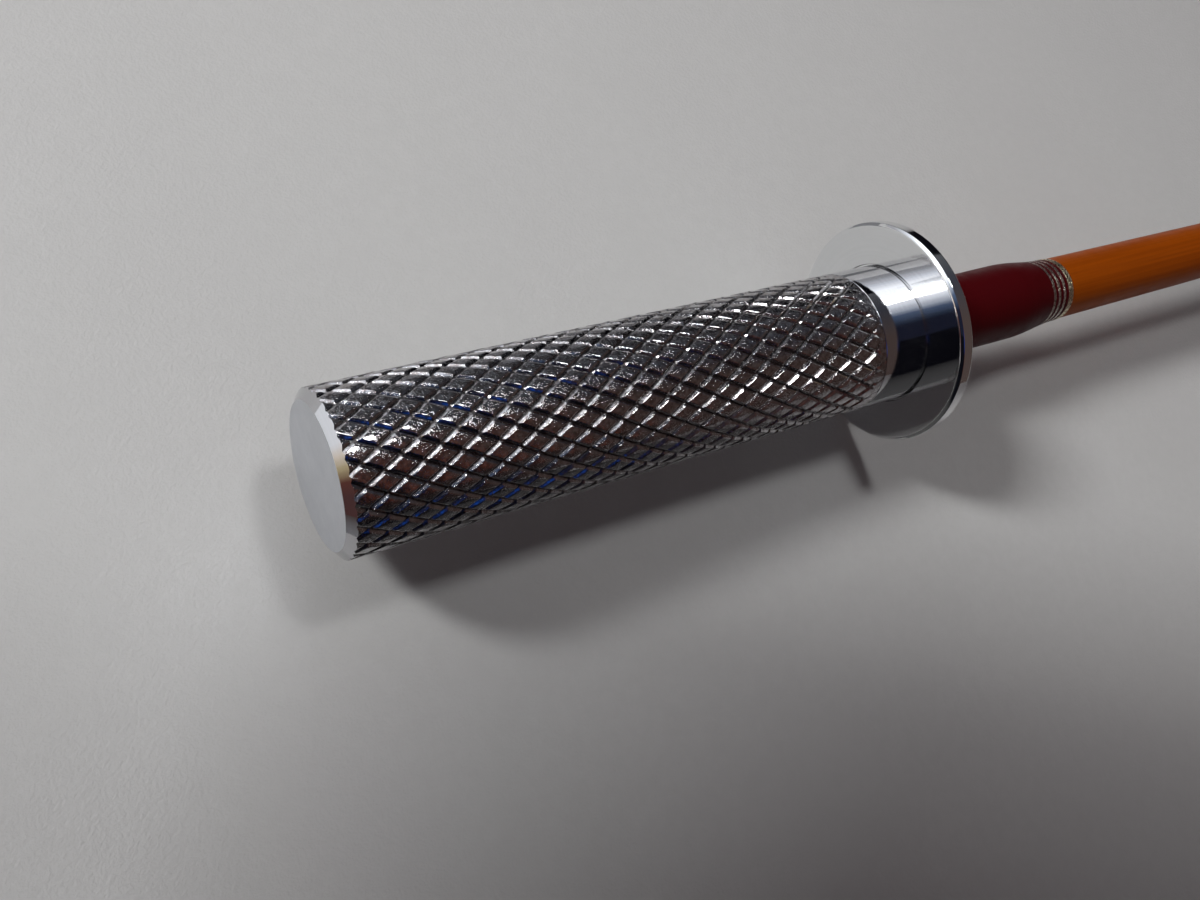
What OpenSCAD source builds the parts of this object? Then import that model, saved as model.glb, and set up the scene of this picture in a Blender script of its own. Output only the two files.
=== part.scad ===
// Knurled rod butt grip: a chromed grip that screws onto a thread-whipped rod section.
// Millimetres. The rod's axis is X, the origin is on that axis in the plane of the flange's
// front face, +X points to the tip of the rod and +Z is up as the rod lies on a table.

/* [Grip] */
// Diameter over the crests of the knurl
grip_d = 12.8; // [11:0.1:16]
// Butt face to the flange's front face
grip_length = 54.6; // [40:0.2:80]
// Length of the plain neck and of the slope that the grooves run out on
neck_length = 5.3; // [3:0.1:8]
// How much the neck stands proud of the knurl, on the diameter
neck_proud = 0.04; // [0.02:0.01:0.3]
// How much smaller the neck's seat spigot is, on the radius
seat_step = 0.2; // [0.16:0.01:0.4]
// Hairline gap between the neck and the flange's front face
neck_gap = 0.06; // [0.03:0.01:0.2]
// Length of the slope that the grooves run out on at the neck
runout_length = 0.3; // [0.15:0.05:1.2]
// How far that slope starts below the bottom of the grooves
runout_depth = 0.02; // [0.01:0.01:0.2]
// Chamfer of the butt end, measured along the axis
butt_chamfer_length = 0.6; // [0.3:0.05:1.2]
// Chamfer of the butt end, measured along the radius
butt_chamfer_radius = 0.8; // [0.4:0.05:1.2]

/* [Knurl] */
// Number of grooves in each of the two crossing families
knurl_starts = 24; // [16:1:28]
// Angle of the grooves to the axis
knurl_angle = 29.8; // [26:0.1:40]
// Depth of the V grooves
knurl_depth = 0.17; // [0.1:0.01:0.3]
// Angle of the grooves' walls to the surface
knurl_wall_angle = 35; // [30:1:45]

/* [Screw joint] */
// Outer diameter of the stud's thread
stud_d = 5.94; // [5:0.02:6.6]
// Pitch of the thread
thread_pitch = 1; // [0.75:0.05:1.25]
// Depth of the thread
thread_depth = 0.56; // [0.4:0.02:0.7]
// Length of the threaded stretch
thread_length = 11; // [8:0.5:16]
// Radial room between the stud and the grip's bore
thread_clearance = 0.09; // [0.05:0.01:0.2]
// Spare bore beyond the tip of the stud
bore_spare = 1.4; // [0.5:0.1:4]
// Diameter of the rubber ring's cord
seal_cord_d = 1.5; // [1.2:0.05:1.8]
// Depth of the ring's groove in the stud
seal_groove_depth = 0.75; // [0.5:0.05:0.9]
// Room around the ring in its groove and in the counterbore
seal_clearance = 0.04; // [0.02:0.01:0.1]
// Plain land between the ring's groove and the flange
seal_land = 0.5; // [0.3:0.1:1]

/* [Flange] */
// Outer diameter of the hand-stop flange
flange_d = 20.8; // [16:0.2:28]
// Thickness of the flange
flange_t = 1.5; // [1:0.05:2.5]
// Front bevel of the rim
flange_front_bevel = 0.25; // [0.1:0.05:0.8]
// Rear bevel of the rim
flange_rear_bevel = 0.25; // [0.1:0.05:0.3]
// Depth of the shallow recess that the neck seats in
seat_depth = 0.3; // [0.1:0.05:0.5]
// Radial room between the neck and the recess
seat_clearance = 0.15; // [0.08:0.01:0.3]
// Radial room between the stud's journal and the flange's hole
journal_clearance = 0.02; // [0.01:0.01:0.05]

/* [Ferrule] */
// Outer diameter of the ferrule
ferrule_d = 7.0; // [6.7:0.05:7.3]
// Length of the ferrule
ferrule_length = 18.5; // [14:0.1:24]
// Wall of the ferrule around the rod
ferrule_wall = 0.5; // [0.3:0.05:0.8]
// Taper of the ferrule's front lip, along the axis
ferrule_lip = 2.4; // [1:0.1:4]
// Diameter of the stud's tail in the ferrule
tail_d = 4.4; // [3.6:0.1:5]
// Length of the stud's tail in the ferrule
tail_length = 6; // [4:0.5:7]
// Solder or glue film between fixed pieces, on the radius
film = 0.02; // [0.01:0.01:0.05]

/* [Rod] */
// Rod diameter where it leaves the ferrule
rod_d = 6.44; // [6:0.02:7]
// Rod diameter at the mouth
mouth_d = 6.1; // [5.6:0.02:6.8]
// Length of the rod beyond the flange
rod_reach = 76; // [68:0.5:140]
// Bore of the hollow rod
rod_bore_d = 3.0; // [2:0.1:3.4]
// Socket for the next section, reamed in the mouth
socket_d = 3.8; // [3.5:0.05:4.4]
// Depth of that socket
socket_depth = 24; // [14:1:40]
// Edge break at the mouth
mouth_edge = 0.2; // [0.1:0.05:0.4]

/* [Whipping] */
// Diameter of the whipping at the flange
whip_root_d = 7.4; // [7.36:0.02:8]
// Greatest diameter of the whipping
whip_d = 7.64; // [7.4:0.02:8.4]
// Where the whipping starts to fall towards the rod
whip_fall_start = 17; // [12:0.5:19]
// Thickness of the whipping on the bare rod
whip_skin = 0.08; // [0.05:0.01:0.15]
// Where the first silver band starts
trim_start = 21.5; // [20.5:0.1:26]
// Width of a narrow silver band
trim_width = 0.45; // [0.2:0.05:0.6]
// Spacing of the narrow bands
trim_pitch = 0.85; // [0.7:0.05:1.2]
// Width of the last maroon turns before the end band
last_spacer_width = 0.4; // [0.3:0.05:1.5]
// Width of the pale end band
end_band_width = 0.75; // [0.5:0.05:2.4]
// Length of the whipping at the mouth
mouth_whip_length = 11; // [8:0.5:20]
// Thickness of the whipping at the mouth
mouth_whip_t = 0.3; // [0.15:0.01:0.4]
// Bare rod left at the mouth
mouth_bare = 0.5; // [0.3:0.1:2]

/* [Hidden] */
$fn = 96;

chrome_colour = [0.80, 0.82, 0.85];
rubber_colour = [0.08, 0.08, 0.09];
steel_colour = [0.55, 0.56, 0.58];
brass_colour = [0.72, 0.58, 0.30];
amber_colour = [0.62, 0.32, 0.06];
maroon_colour = [0.30, 0.02, 0.05];
silver_colour = [0.80, 0.74, 0.74];
pale_gold_colour = [0.86, 0.80, 0.66];

// Stretches of the grip along X
butt_x = -grip_length;
neck_x = -neck_length;
grip_r = grip_d / 2;
neck_r = grip_r + neck_proud / 2;
runout_r = grip_r - knurl_depth - runout_depth;
runout_end = neck_x + runout_length;

// The knurl's lattice: grooves of the two families cross at even steps of turn and advance
knurl_pitch = 2 * PI * grip_r * cos(knurl_angle) / knurl_starts;
knurl_advance = 2 * PI * grip_r / (knurl_starts * tan(knurl_angle));
knurl_half_groove = knurl_depth / (tan(knurl_wall_angle) * knurl_pitch);
knurl_top = 1 - 2 * knurl_half_groove;
knurl_rows = ceil(2 * (runout_end - butt_x) / knurl_advance) + 2;
knurl_corners = knurl_starts * (knurl_rows + 2);
knurl_cells = 4 * knurl_starts * knurl_rows;

// The screw joint
stud_r = stud_d / 2;
thread_root_r = stud_r - thread_depth;
thread_core_r = thread_root_r - thread_clearance;
thread_sides = 24;
thread_steps = 4;
groove_root_r = stud_r - seal_groove_depth;
seal_ring_r = groove_root_r + seal_clearance + seal_cord_d / 2;
counterbore_r = seal_ring_r + seal_cord_d / 2 + seal_clearance;
seal_groove_width = seal_cord_d + 2 * seal_clearance;
seal_x = -seal_land - seal_groove_width / 2;
seal_groove_x = -seal_land - seal_groove_width;
counterbore_x = seal_groove_x - seal_land;
thread_x = counterbore_x - thread_length;
bore_r = stud_r + thread_clearance;
bore_x = thread_x - bore_spare;

// The rod and what covers it
flange_r = flange_d / 2;
ferrule_r = ferrule_d / 2;
ferrule_end = flange_t + ferrule_length;
tail_r = tail_d / 2;
tail_end = flange_t + tail_length;
tenon_r = ferrule_r - ferrule_wall - film;
tenon_x = tail_end + film;
rod_r = rod_d / 2;
mouth_r = mouth_d / 2;
socket_r = socket_d / 2;
rod_bore_r = rod_bore_d / 2;
trims_end = trim_start + 2 * trim_pitch + trim_width;
end_band_x = trims_end + last_spacer_width;
whip_end = end_band_x + end_band_width;
whip_points = 12;
mouth_whip_end = rod_reach - mouth_bare;
mouth_trim_x = mouth_whip_end - mouth_whip_length;
mouth_ramp_x = mouth_trim_x - 2 * trim_pitch - trim_width - last_spacer_width - end_band_width;

// Radius of the bare rod, of the butt whipping and of the mouth whipping at a place along X
function rod_radius(x) = rod_r + (mouth_r - rod_r) * (x - ferrule_end) / (rod_reach - ferrule_end);
function swell(u) = (1 - cos(180 * min(max(u, 0), 1))) / 2;
function whip_end_radius() = rod_radius(whip_end) + whip_skin;
function whip_radius(x) = x < whip_fall_start
    ? (whip_root_d + (whip_d - whip_root_d) * swell((x - flange_t) / (whip_fall_start - flange_t))) / 2
    : whip_end_radius() + (whip_d / 2 - whip_end_radius())
        * (1 - swell((x - whip_fall_start) / (end_band_x - whip_fall_start)));
function mouth_whip_radius(x) = rod_radius(x) + whip_skin
    + (mouth_whip_t - whip_skin) * swell((x - mouth_ramp_x) / (mouth_trim_x - mouth_ramp_x));

// A turned piece from an outline of [radius, place along X] points
module turned(points) {
    rotate([0, 90, 0]) rotate_extrude() polygon(points);
}

// A turn on the lattice is counted in half groove spacings, and so is the advance along X
function knurl_point(turn, advance, radius) = [
    butt_x + (advance - 1) * knurl_advance / 2,
    radius * cos(turn * 180 / knurl_starts),
    radius * sin(turn * 180 / knurl_starts)
];
function odd(n) = abs(n) % 2;
function wrapped(n) = (n + 2 * knurl_starts) % (2 * knurl_starts);
function corner(turn, row) = (row + 1) * knurl_starts + (wrapped(turn) - odd(row)) / 2;
function cell_top(row, place, side) = knurl_corners + 4 * (row * knurl_starts + place) + side;

// Flat-topped diamonds between V grooves: each has two top faces and eight wall faces
module knurled_bar() {
    groove_r = grip_r - knurl_depth;
    corners = [
        for (row = [-1:knurl_rows], place = [0:knurl_starts - 1])
            knurl_point(2 * place + odd(row), row, groove_r)
    ];
    tops = [
        for (row = [0:knurl_rows - 1], place = [0:knurl_starts - 1], side = [0:3])
            knurl_point(
                2 * place + odd(row + 1) + knurl_top * [1, 0, -1, 0][side],
                row + knurl_top * [0, 1, 0, -1][side],
                grip_r
            )
    ];
    butt_pole = knurl_corners + knurl_cells;
    neck_pole = butt_pole + 1;
    poles = [[knurl_point(0, -1, 0).x, 0, 0], [knurl_point(0, knurl_rows, 0).x, 0, 0]];
    diamonds = [
        for (row = [0:knurl_rows - 1], place = [0:knurl_starts - 1])
            let (
                turn = 2 * place + odd(row + 1),
                top = [for (side = [0:3]) cell_top(row, place, side)],
                low = [
                    corner(turn + 1, row), corner(turn, row + 1),
                    corner(turn - 1, row), corner(turn, row - 1)
                ]
            )
            each concat(
                [[top[0], top[3], top[1]], [top[3], top[2], top[1]]],
                [
                    for (side = [0:3])
                        let (next = (side + 1) % 4)
                        each [[top[side], top[next], low[next]], [top[side], low[next], low[side]]]
                ]
            )
    ];
    ends = [
        for (place = [0:knurl_starts - 1])
            let (
                first = 2 * place + odd(1),
                last_row = knurl_rows - 1,
                last = 2 * place + odd(knurl_rows)
            )
            each [
                [corner(first - 1, 0), corner(first, -1), butt_pole],
                [corner(first, -1), corner(first + 1, 0), butt_pole],
                [corner(last + 1, last_row), corner(last, knurl_rows), neck_pole],
                [corner(last, knurl_rows), corner(last - 1, last_row), neck_pole]
            ]
    ];
    polyhedron(concat(corners, tops, poles), concat(diamonds, ends), convexity = 10);
}

// The knurled bar chamfered at the butt, joined to the neck by a slope and bored for the stud
module grip_barrel() {
    clear_r = grip_r + butt_chamfer_radius;
    face_r = grip_r - butt_chamfer_radius;
    rise = butt_chamfer_length / butt_chamfer_radius;
    color(chrome_colour)
    difference() {
        union() {
            difference() {
                knurled_bar();
                turned([
                    [0, butt_x - 2 * knurl_advance], [clear_r, butt_x - 2 * knurl_advance],
                    [clear_r, butt_x + rise * (clear_r - face_r)], [face_r, butt_x], [0, butt_x]
                ]);
                turned([
                    [0, runout_end], [clear_r, runout_end],
                    [clear_r, runout_end + 2 * knurl_advance], [0, runout_end + 2 * knurl_advance]
                ]);
            }
            turned([
                [0, bore_x - grip_r], [runout_r, bore_x - grip_r],
                [runout_r, neck_x], [neck_r, runout_end], [neck_r, -neck_gap],
                [neck_r - seat_step, -neck_gap], [neck_r - seat_step, seat_depth], [0, seat_depth]
            ]);
        }
        turned([
            [0, bore_x - bore_r / 2], [bore_r, bore_x], [bore_r, counterbore_x],
            [counterbore_r, counterbore_x], [counterbore_r, 2 * seat_depth], [0, 2 * seat_depth]
        ]);
    }
}

module seal_ring() {
    color(rubber_colour)
    translate([seal_x, 0, 0]) rotate([0, 90, 0])
    rotate_extrude() translate([seal_ring_r, 0]) circle(d = seal_cord_d, $fn = 48);
}

// One helical surface whose rows follow the crest and the root, closed on the axis at both ends
module thread_form() {
    turns = ceil(thread_length / thread_pitch) + 3;
    rows = turns * thread_steps;
    profile = [thread_root_r, thread_root_r, stud_r, stud_r];
    start_x = thread_x - 2 * thread_pitch;
    function spot(side, row) = (row + (side >= thread_sides ? thread_steps : 0)) * thread_sides
        + side % thread_sides;
    points = [
        for (row = [0:rows + thread_steps], side = [0:thread_sides - 1])
            let (
                turn = side / thread_sides,
                radius = profile[row % thread_steps]
            )
            [
                start_x + thread_pitch * (row / thread_steps + turn),
                radius * cos(360 * turn),
                radius * sin(360 * turn)
            ]
    ];
    tip_pole = len(points);
    root_pole = tip_pole + 1;
    poles = [[start_x, 0, 0], [start_x + thread_pitch * (turns + 1), 0, 0]];
    flanks = [
        for (row = [0:rows - 1], side = [0:thread_sides - 1])
            each [
                [spot(side, row), spot(side, row + 1), spot(side + 1, row + 1)],
                [spot(side, row), spot(side + 1, row + 1), spot(side + 1, row)]
            ]
    ];
    ends = [
        for (side = [0:thread_sides - 1])
            each [
                [spot(side + 1, 0), tip_pole, spot(side, 0)],
                [spot(side, rows), root_pole, spot(side + 1, rows)]
            ]
    ];
    steps = [
        for (step = [0:thread_steps - 1])
            each [
                [spot(0, step), tip_pole, spot(0, step + 1)],
                [spot(0, rows + step + 1), root_pole, spot(0, rows + step)]
            ]
    ];
    polyhedron(concat(points, poles), concat(flanks, ends, steps), convexity = 10);
}

// Thread, ring groove and journal in one piece, with a tail that is soldered in the ferrule
module threaded_stud() {
    clear_r = stud_r + thread_depth;
    color(steel_colour)
    union() {
        difference() {
            thread_form();
            turned([
                [0, thread_x - 3 * thread_pitch], [clear_r, thread_x - 3 * thread_pitch],
                [clear_r, thread_x + 2 * thread_depth], [thread_core_r, thread_x], [0, thread_x]
            ]);
            turned([
                [0, counterbore_x], [clear_r, counterbore_x],
                [clear_r, counterbore_x + 3 * thread_pitch], [0, counterbore_x + 3 * thread_pitch]
            ]);
        }
        turned([
            [0, counterbore_x - thread_length / 2], [thread_core_r, counterbore_x - thread_length / 2],
            [thread_core_r, counterbore_x], [stud_r, counterbore_x], [stud_r, seal_groove_x],
            [groove_root_r, seal_groove_x], [groove_root_r, -seal_land],
            [stud_r, -seal_land], [stud_r, flange_t], [tail_r, flange_t], [tail_r, tail_end],
            [0, tail_end]
        ]);
    }
}

// The neck's end seats in the shallow recess, so the face outside it is free to rest on a socket
module flange_disc() {
    hole_r = stud_r + journal_clearance;
    recess_r = neck_r + seat_clearance;
    color(chrome_colour)
    turned([
        [hole_r, seat_depth], [recess_r, seat_depth], [recess_r, 0],
        [flange_r - flange_front_bevel, 0], [flange_r, flange_front_bevel],
        [flange_r, flange_t - flange_rear_bevel], [flange_r - flange_rear_bevel, flange_t],
        [hole_r, flange_t]
    ]);
}

module ferrule() {
    color(brass_colour)
    turned([
        [tail_r + film, flange_t], [ferrule_r, flange_t], [ferrule_r, ferrule_end - ferrule_lip],
        [rod_r, ferrule_end], [tenon_r + film, ferrule_end], [tenon_r + film, tail_end],
        [tail_r + film, tail_end]
    ]);
}

// Hollow rod with a turned tenon in the ferrule and a reamed socket in its mouth
module rod_blank() {
    color(amber_colour)
    turned([
        [rod_bore_r, tenon_x], [tenon_r, tenon_x], [tenon_r, ferrule_end], [rod_r, ferrule_end],
        [rod_radius(rod_reach - mouth_edge), rod_reach - mouth_edge],
        [rod_radius(rod_reach) - mouth_edge, rod_reach], [socket_r, rod_reach],
        [socket_r, rod_reach - socket_depth], [rod_bore_r, rod_reach - socket_depth]
    ]);
}

// A stretch of thread wound on the butt, between two places along X
module butt_winding(from, to, shade) {
    inner = [
        for (x = [from, ferrule_end - ferrule_lip, ferrule_end, to])
            if (x >= from && x <= to)
                [x < ferrule_end - ferrule_lip ? ferrule_r : butt_core_radius(x), x]
    ];
    outer = [
        for (i = [0:whip_points])
            let (x = to + (from - to) * i / whip_points)
            [whip_radius(x), x]
    ];
    color(shade) turned(concat(inner, outer));
}

// Radius of what lies under the butt whipping: the ferrule, its lip, then the rod
function butt_core_radius(x) = x >= ferrule_end ? rod_radius(x)
    : x <= ferrule_end - ferrule_lip ? ferrule_r
    : rod_r + (ferrule_r - rod_r) * (ferrule_end - x) / ferrule_lip;

// A stretch of thread wound near the mouth
module mouth_winding(from, to, shade) {
    outer = [
        for (i = [0:whip_points])
            let (x = to + (from - to) * i / whip_points)
            [mouth_whip_radius(x), x]
    ];
    color(shade) turned(concat([[rod_radius(from), from], [rod_radius(to), to]], outer));
}

// The narrow bands and the maroon turns between them, counted from the whipping outwards
module butt_trim(i) {
    from = trim_start + i * trim_pitch;
    butt_winding(from, from + trim_width, silver_colour);
}

module butt_spacer(i) {
    from = trim_start + i * trim_pitch + trim_width;
    butt_winding(from, i < 2 ? from + trim_pitch - trim_width : end_band_x, maroon_colour);
}

module mouth_trim(i) {
    to = mouth_trim_x - i * trim_pitch;
    mouth_winding(to - trim_width, to, silver_colour);
}

module mouth_spacer(i) {
    to = mouth_trim_x - i * trim_pitch - trim_width;
    mouth_winding(i < 2 ? to - trim_pitch + trim_width : to - last_spacer_width, to, maroon_colour);
}

module butt_whipping() { butt_winding(flange_t, trim_start, maroon_colour); }
module butt_end_band() { butt_winding(end_band_x, whip_end, pale_gold_colour); }
module mouth_whipping() { mouth_winding(mouth_trim_x, mouth_whip_end, maroon_colour); }
module mouth_end_band() {
    mouth_winding(mouth_ramp_x, mouth_ramp_x + end_band_width, pale_gold_colour);
}

grip_barrel();
seal_ring();
threaded_stud();
flange_disc();
ferrule();
rod_blank();
butt_whipping();
butt_trim(0);  // butt_trim_1
butt_spacer(0);  // butt_spacer_1
butt_trim(1);  // butt_trim_2
butt_spacer(1);  // butt_spacer_2
butt_trim(2);  // butt_trim_3
butt_spacer(2);  // butt_spacer_3
butt_end_band();
mouth_whipping();
mouth_trim(0);  // mouth_trim_1
mouth_spacer(0);  // mouth_spacer_1
mouth_trim(1);  // mouth_trim_2
mouth_spacer(1);  // mouth_spacer_2
mouth_trim(2);  // mouth_trim_3
mouth_spacer(2);  // mouth_spacer_3
mouth_end_band();
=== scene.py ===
"""Looks of a chromed knurled rod grip and of the whipped rod section that it screws onto.

Each operator builds one piece, or one group of like pieces, as a numpy surface in the frame of the
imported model, and the last one sets the stage. Lengths are in metres, and the rod's axis is X.
"""

import math
from functools import partial

import bpy
import numpy as np
from bpy.props import FloatProperty, FloatVectorProperty, IntProperty, PointerProperty
from mathutils import Matrix, Vector


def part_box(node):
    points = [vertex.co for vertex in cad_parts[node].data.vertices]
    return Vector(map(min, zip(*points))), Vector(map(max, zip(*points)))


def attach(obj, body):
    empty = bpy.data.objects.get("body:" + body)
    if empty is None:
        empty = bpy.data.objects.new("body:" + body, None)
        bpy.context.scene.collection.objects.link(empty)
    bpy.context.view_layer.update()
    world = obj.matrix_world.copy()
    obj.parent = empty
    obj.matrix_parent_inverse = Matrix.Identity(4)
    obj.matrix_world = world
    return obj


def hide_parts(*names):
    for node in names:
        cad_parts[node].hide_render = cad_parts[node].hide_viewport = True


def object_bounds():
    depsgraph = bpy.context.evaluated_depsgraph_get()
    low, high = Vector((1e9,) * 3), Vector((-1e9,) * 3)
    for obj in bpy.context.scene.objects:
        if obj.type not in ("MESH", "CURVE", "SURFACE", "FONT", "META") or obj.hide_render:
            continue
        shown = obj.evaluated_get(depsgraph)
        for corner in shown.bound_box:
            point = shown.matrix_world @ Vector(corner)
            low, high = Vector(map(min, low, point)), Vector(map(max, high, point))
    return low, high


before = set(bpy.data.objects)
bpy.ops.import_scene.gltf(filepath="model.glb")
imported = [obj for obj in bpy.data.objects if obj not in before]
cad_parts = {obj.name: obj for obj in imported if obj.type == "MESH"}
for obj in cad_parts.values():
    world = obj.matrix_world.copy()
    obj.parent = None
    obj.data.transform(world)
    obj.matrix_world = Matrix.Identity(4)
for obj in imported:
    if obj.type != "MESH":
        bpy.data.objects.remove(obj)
CAD_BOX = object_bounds()

bl_info = {
    "name": "Knurled rod grip",
    "version": (1, 0, 0),
    "blender": (4, 5, 0),
    "location": "3D View > Sidebar > Rod Grip",
    "description": "Builds a chromed knurled grip, its hand stop and a whipped rod section",
    "category": "Add Mesh",
}

FULL_TURN = 2 * math.pi
GRIP_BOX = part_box("grip_barrel")
HAND_STOP_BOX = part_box("flange_disc")
FERRULE_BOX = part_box("ferrule")
ROD_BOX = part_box("rod_blank")


# Settings


def length(name, description, default):
    """A length or a place along the axis, in metres."""
    return FloatProperty(name=name, description=description, default=default, unit="LENGTH", precision=6)


def colour(name, description, default):
    """A linear colour."""
    return FloatVectorProperty(
        name=name, description=description, default=default, min=0.0, max=1.0, subtype="COLOR"
    )


def share(name, description, default):
    """A number from 0 to 1."""
    return FloatProperty(
        name=name, description=description, default=default, min=0.0, max=1.0, subtype="FACTOR"
    )


def angle(name, description, degrees):
    """An angle, given in degrees and kept in radians."""
    radians = math.radians(degrees)
    return FloatProperty(
        name=name, description=description, default=radians, subtype="ANGLE", unit="ROTATION"
    )


def lamp_power(name, description, default):
    """The power of a lamp, in watts."""
    return FloatProperty(name=name, description=description, default=default, unit="POWER")


class GripSizes(bpy.types.PropertyGroup):
    """Sizes of the chromed grip."""

    butt_x: length("Butt face", "Place of the butt face along the axis", GRIP_BOX[0].x)
    knurl_end_x: length("Knurl end", "Where the bottoms of the grooves meet the neck's slope", -0.0053)
    crest_radius: length("Crest radius", "Radius over the crests of the knurl", 0.0064)
    starts: IntProperty(name="Starts", description="Grooves in each family", default=24, min=3)
    slant: angle("Groove slant", "Angle of the grooves to the axis", 29.8)
    groove_depth: length("Groove depth", "Depth of the V grooves", 0.00022)
    groove_wall: angle("Groove wall", "Angle of the grooves' walls to the surface", 42)
    crown: length("Crown", "Rise of a diamond's middle above its edges", 0.000012)
    tilt: length("Tilt", "How far a diamond's edge is pushed up or down by the knurling wheel", 0.000014)
    fade_share: share("Fade share", "Share of the groove depth that is left at the butt's chamfer", 0.45)
    fade_length: length("Fade length", "Length over which the grooves fade to the chamfer", 0.0012)
    neck_share: share("Neck share", "Share of the groove depth that is left at the neck", 0.12)
    neck_fade: length("Neck fade", "Length over which the grooves fade to the neck", 0.0014)
    chamfer_length: length("Chamfer length", "Chamfer of the butt end along the axis", 0.0006)
    chamfer_depth: length("Chamfer depth", "Chamfer of the butt end along the radius", 0.0008)
    runout_radius: length("Run-out radius", "Radius at the foot of the neck's slope", 0.00621)
    runout_length: length("Run-out length", "Length of the slope that the grooves run out on", 0.0003)
    neck_radius: length("Neck radius", "Radius of the plain neck", 0.00642)
    neck_gap: length("Neck gap", "Hairline gap between the neck and the hand stop", 0.00006)
    spigot_radius: length("Spigot radius", "Radius of the spigot that seats in the hand stop", 0.00622)
    seat_depth: length("Seat depth", "How far the spigot enters the hand stop", 0.0003)
    counterbore_radius: length("Counterbore radius", "Radius around the rubber ring", 0.0038)
    counterbore_x: length("Counterbore end", "Where the counterbore stops", -0.00258)
    bore_radius: length("Bore radius", "Radius of the bore around the stud", 0.00306)
    bore_x: length("Bore end", "Where the bore's wall stops", -0.01498)


class StudSizes(bpy.types.PropertyGroup):
    """Sizes of the screwed stud and of its rubber ring."""

    radius: length("Stud radius", "Radius over the thread's crests", 0.00297)
    pitch: length("Thread pitch", "Advance of the thread in one turn", 0.001)
    thread_depth: length("Thread depth", "Depth of the thread", 0.00056)
    tip_x: length("Tip", "Where the thread starts", -0.01358)
    thread_end_x: length("Thread end", "Where the thread stops", -0.00258)
    lead_in: length("Lead-in", "Length of the tip's chamfer", 0.0002)
    ring_groove_radius: length("Ring groove radius", "Radius at the ring groove's bottom", 0.00222)
    ring_groove_x: length("Ring groove", "Where the ring's groove starts", -0.00208)
    land: length("Land", "Plain land between the ring's groove and the hand stop", 0.0005)
    tail_radius: length("Tail radius", "Radius of the tail in the ferrule", 0.0022)
    tail_end_x: length("Tail end", "Where the tail stops", 0.0075)
    ring_x: length("Ring place", "Place of the rubber ring along the axis", -0.00129)
    ring_radius: length("Ring radius", "Radius of the rubber ring's centre line", 0.00301)
    ring_cord: length("Ring cord", "Radius of the rubber ring's cord", 0.00075)


class RodSizes(bpy.types.PropertyGroup):
    """Sizes of the hand stop, the ferrule, the rod and the whippings."""

    stop_radius: length("Hand stop radius", "Radius of the hand stop", HAND_STOP_BOX[1].y)
    stop_thickness: length("Hand stop thickness", "Thickness of the hand stop", HAND_STOP_BOX[1].x)
    stop_front_bevel: length("Front bevel", "Bevel of the hand stop's front rim", 0.00025)
    stop_rear_bevel: length("Rear bevel", "Bevel of the hand stop's rear rim", 0.00025)
    stop_recess_radius: length("Recess radius", "Radius of the recess that the neck seats in", 0.00657)
    stop_hole_radius: length("Hole radius", "Radius of the hole for the stud", 0.00299)
    ferrule_radius: length("Ferrule radius", "Outer radius of the ferrule", FERRULE_BOX[1].y)
    ferrule_end_x: length("Ferrule end", "Where the ferrule stops", FERRULE_BOX[1].x)
    ferrule_lip: length("Ferrule lip", "Length of the ferrule's tapered lip", 0.0024)
    ferrule_bore: length("Ferrule bore", "Radius of the ferrule's bore around the rod", 0.003)
    ferrule_tail_bore: length("Tail bore", "Radius of the bore around the stud's tail", 0.00222)
    tenon_radius: length("Tenon radius", "Radius of the rod's tenon in the ferrule", 0.00298)
    rod_radius: length("Rod radius", "Radius of the rod at the ferrule", ROD_BOX[1].y)
    mouth_radius: length("Mouth radius", "Radius of the rod at its mouth", 0.00305)
    mouth_x: length("Mouth", "Place of the rod's mouth along the axis", ROD_BOX[1].x)
    mouth_edge: length("Mouth edge", "Edge break at the mouth", 0.0002)
    rod_bore: length("Rod bore", "Radius of the hollow rod's bore", 0.0015)
    socket_radius: length("Socket radius", "Radius of the socket in the mouth", 0.0019)
    socket_depth: length("Socket depth", "Depth of the socket in the mouth", 0.024)
    whip_root_radius: length("Whipping root", "Radius of the whipping at the hand stop", 0.0037)
    whip_radius: length("Whipping radius", "Greatest radius of the whipping", 0.00382)
    whip_fall_x: length("Whipping fall", "Where the whipping starts to fall to the rod", 0.017)
    whip_skin: length("Whipping skin", "Thickness of the whipping on the bare rod", 0.00008)
    mouth_whip_rise: length("Mouth rise", "Thickness of the mouth whipping above that skin", 0.00022)
    maroon_thread: length("Maroon thread", "Width of a turn of the maroon thread", 0.00018)
    metal_thread: length("Metal thread", "Width of a turn of the silver and gold threads", 0.00045)


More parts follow.
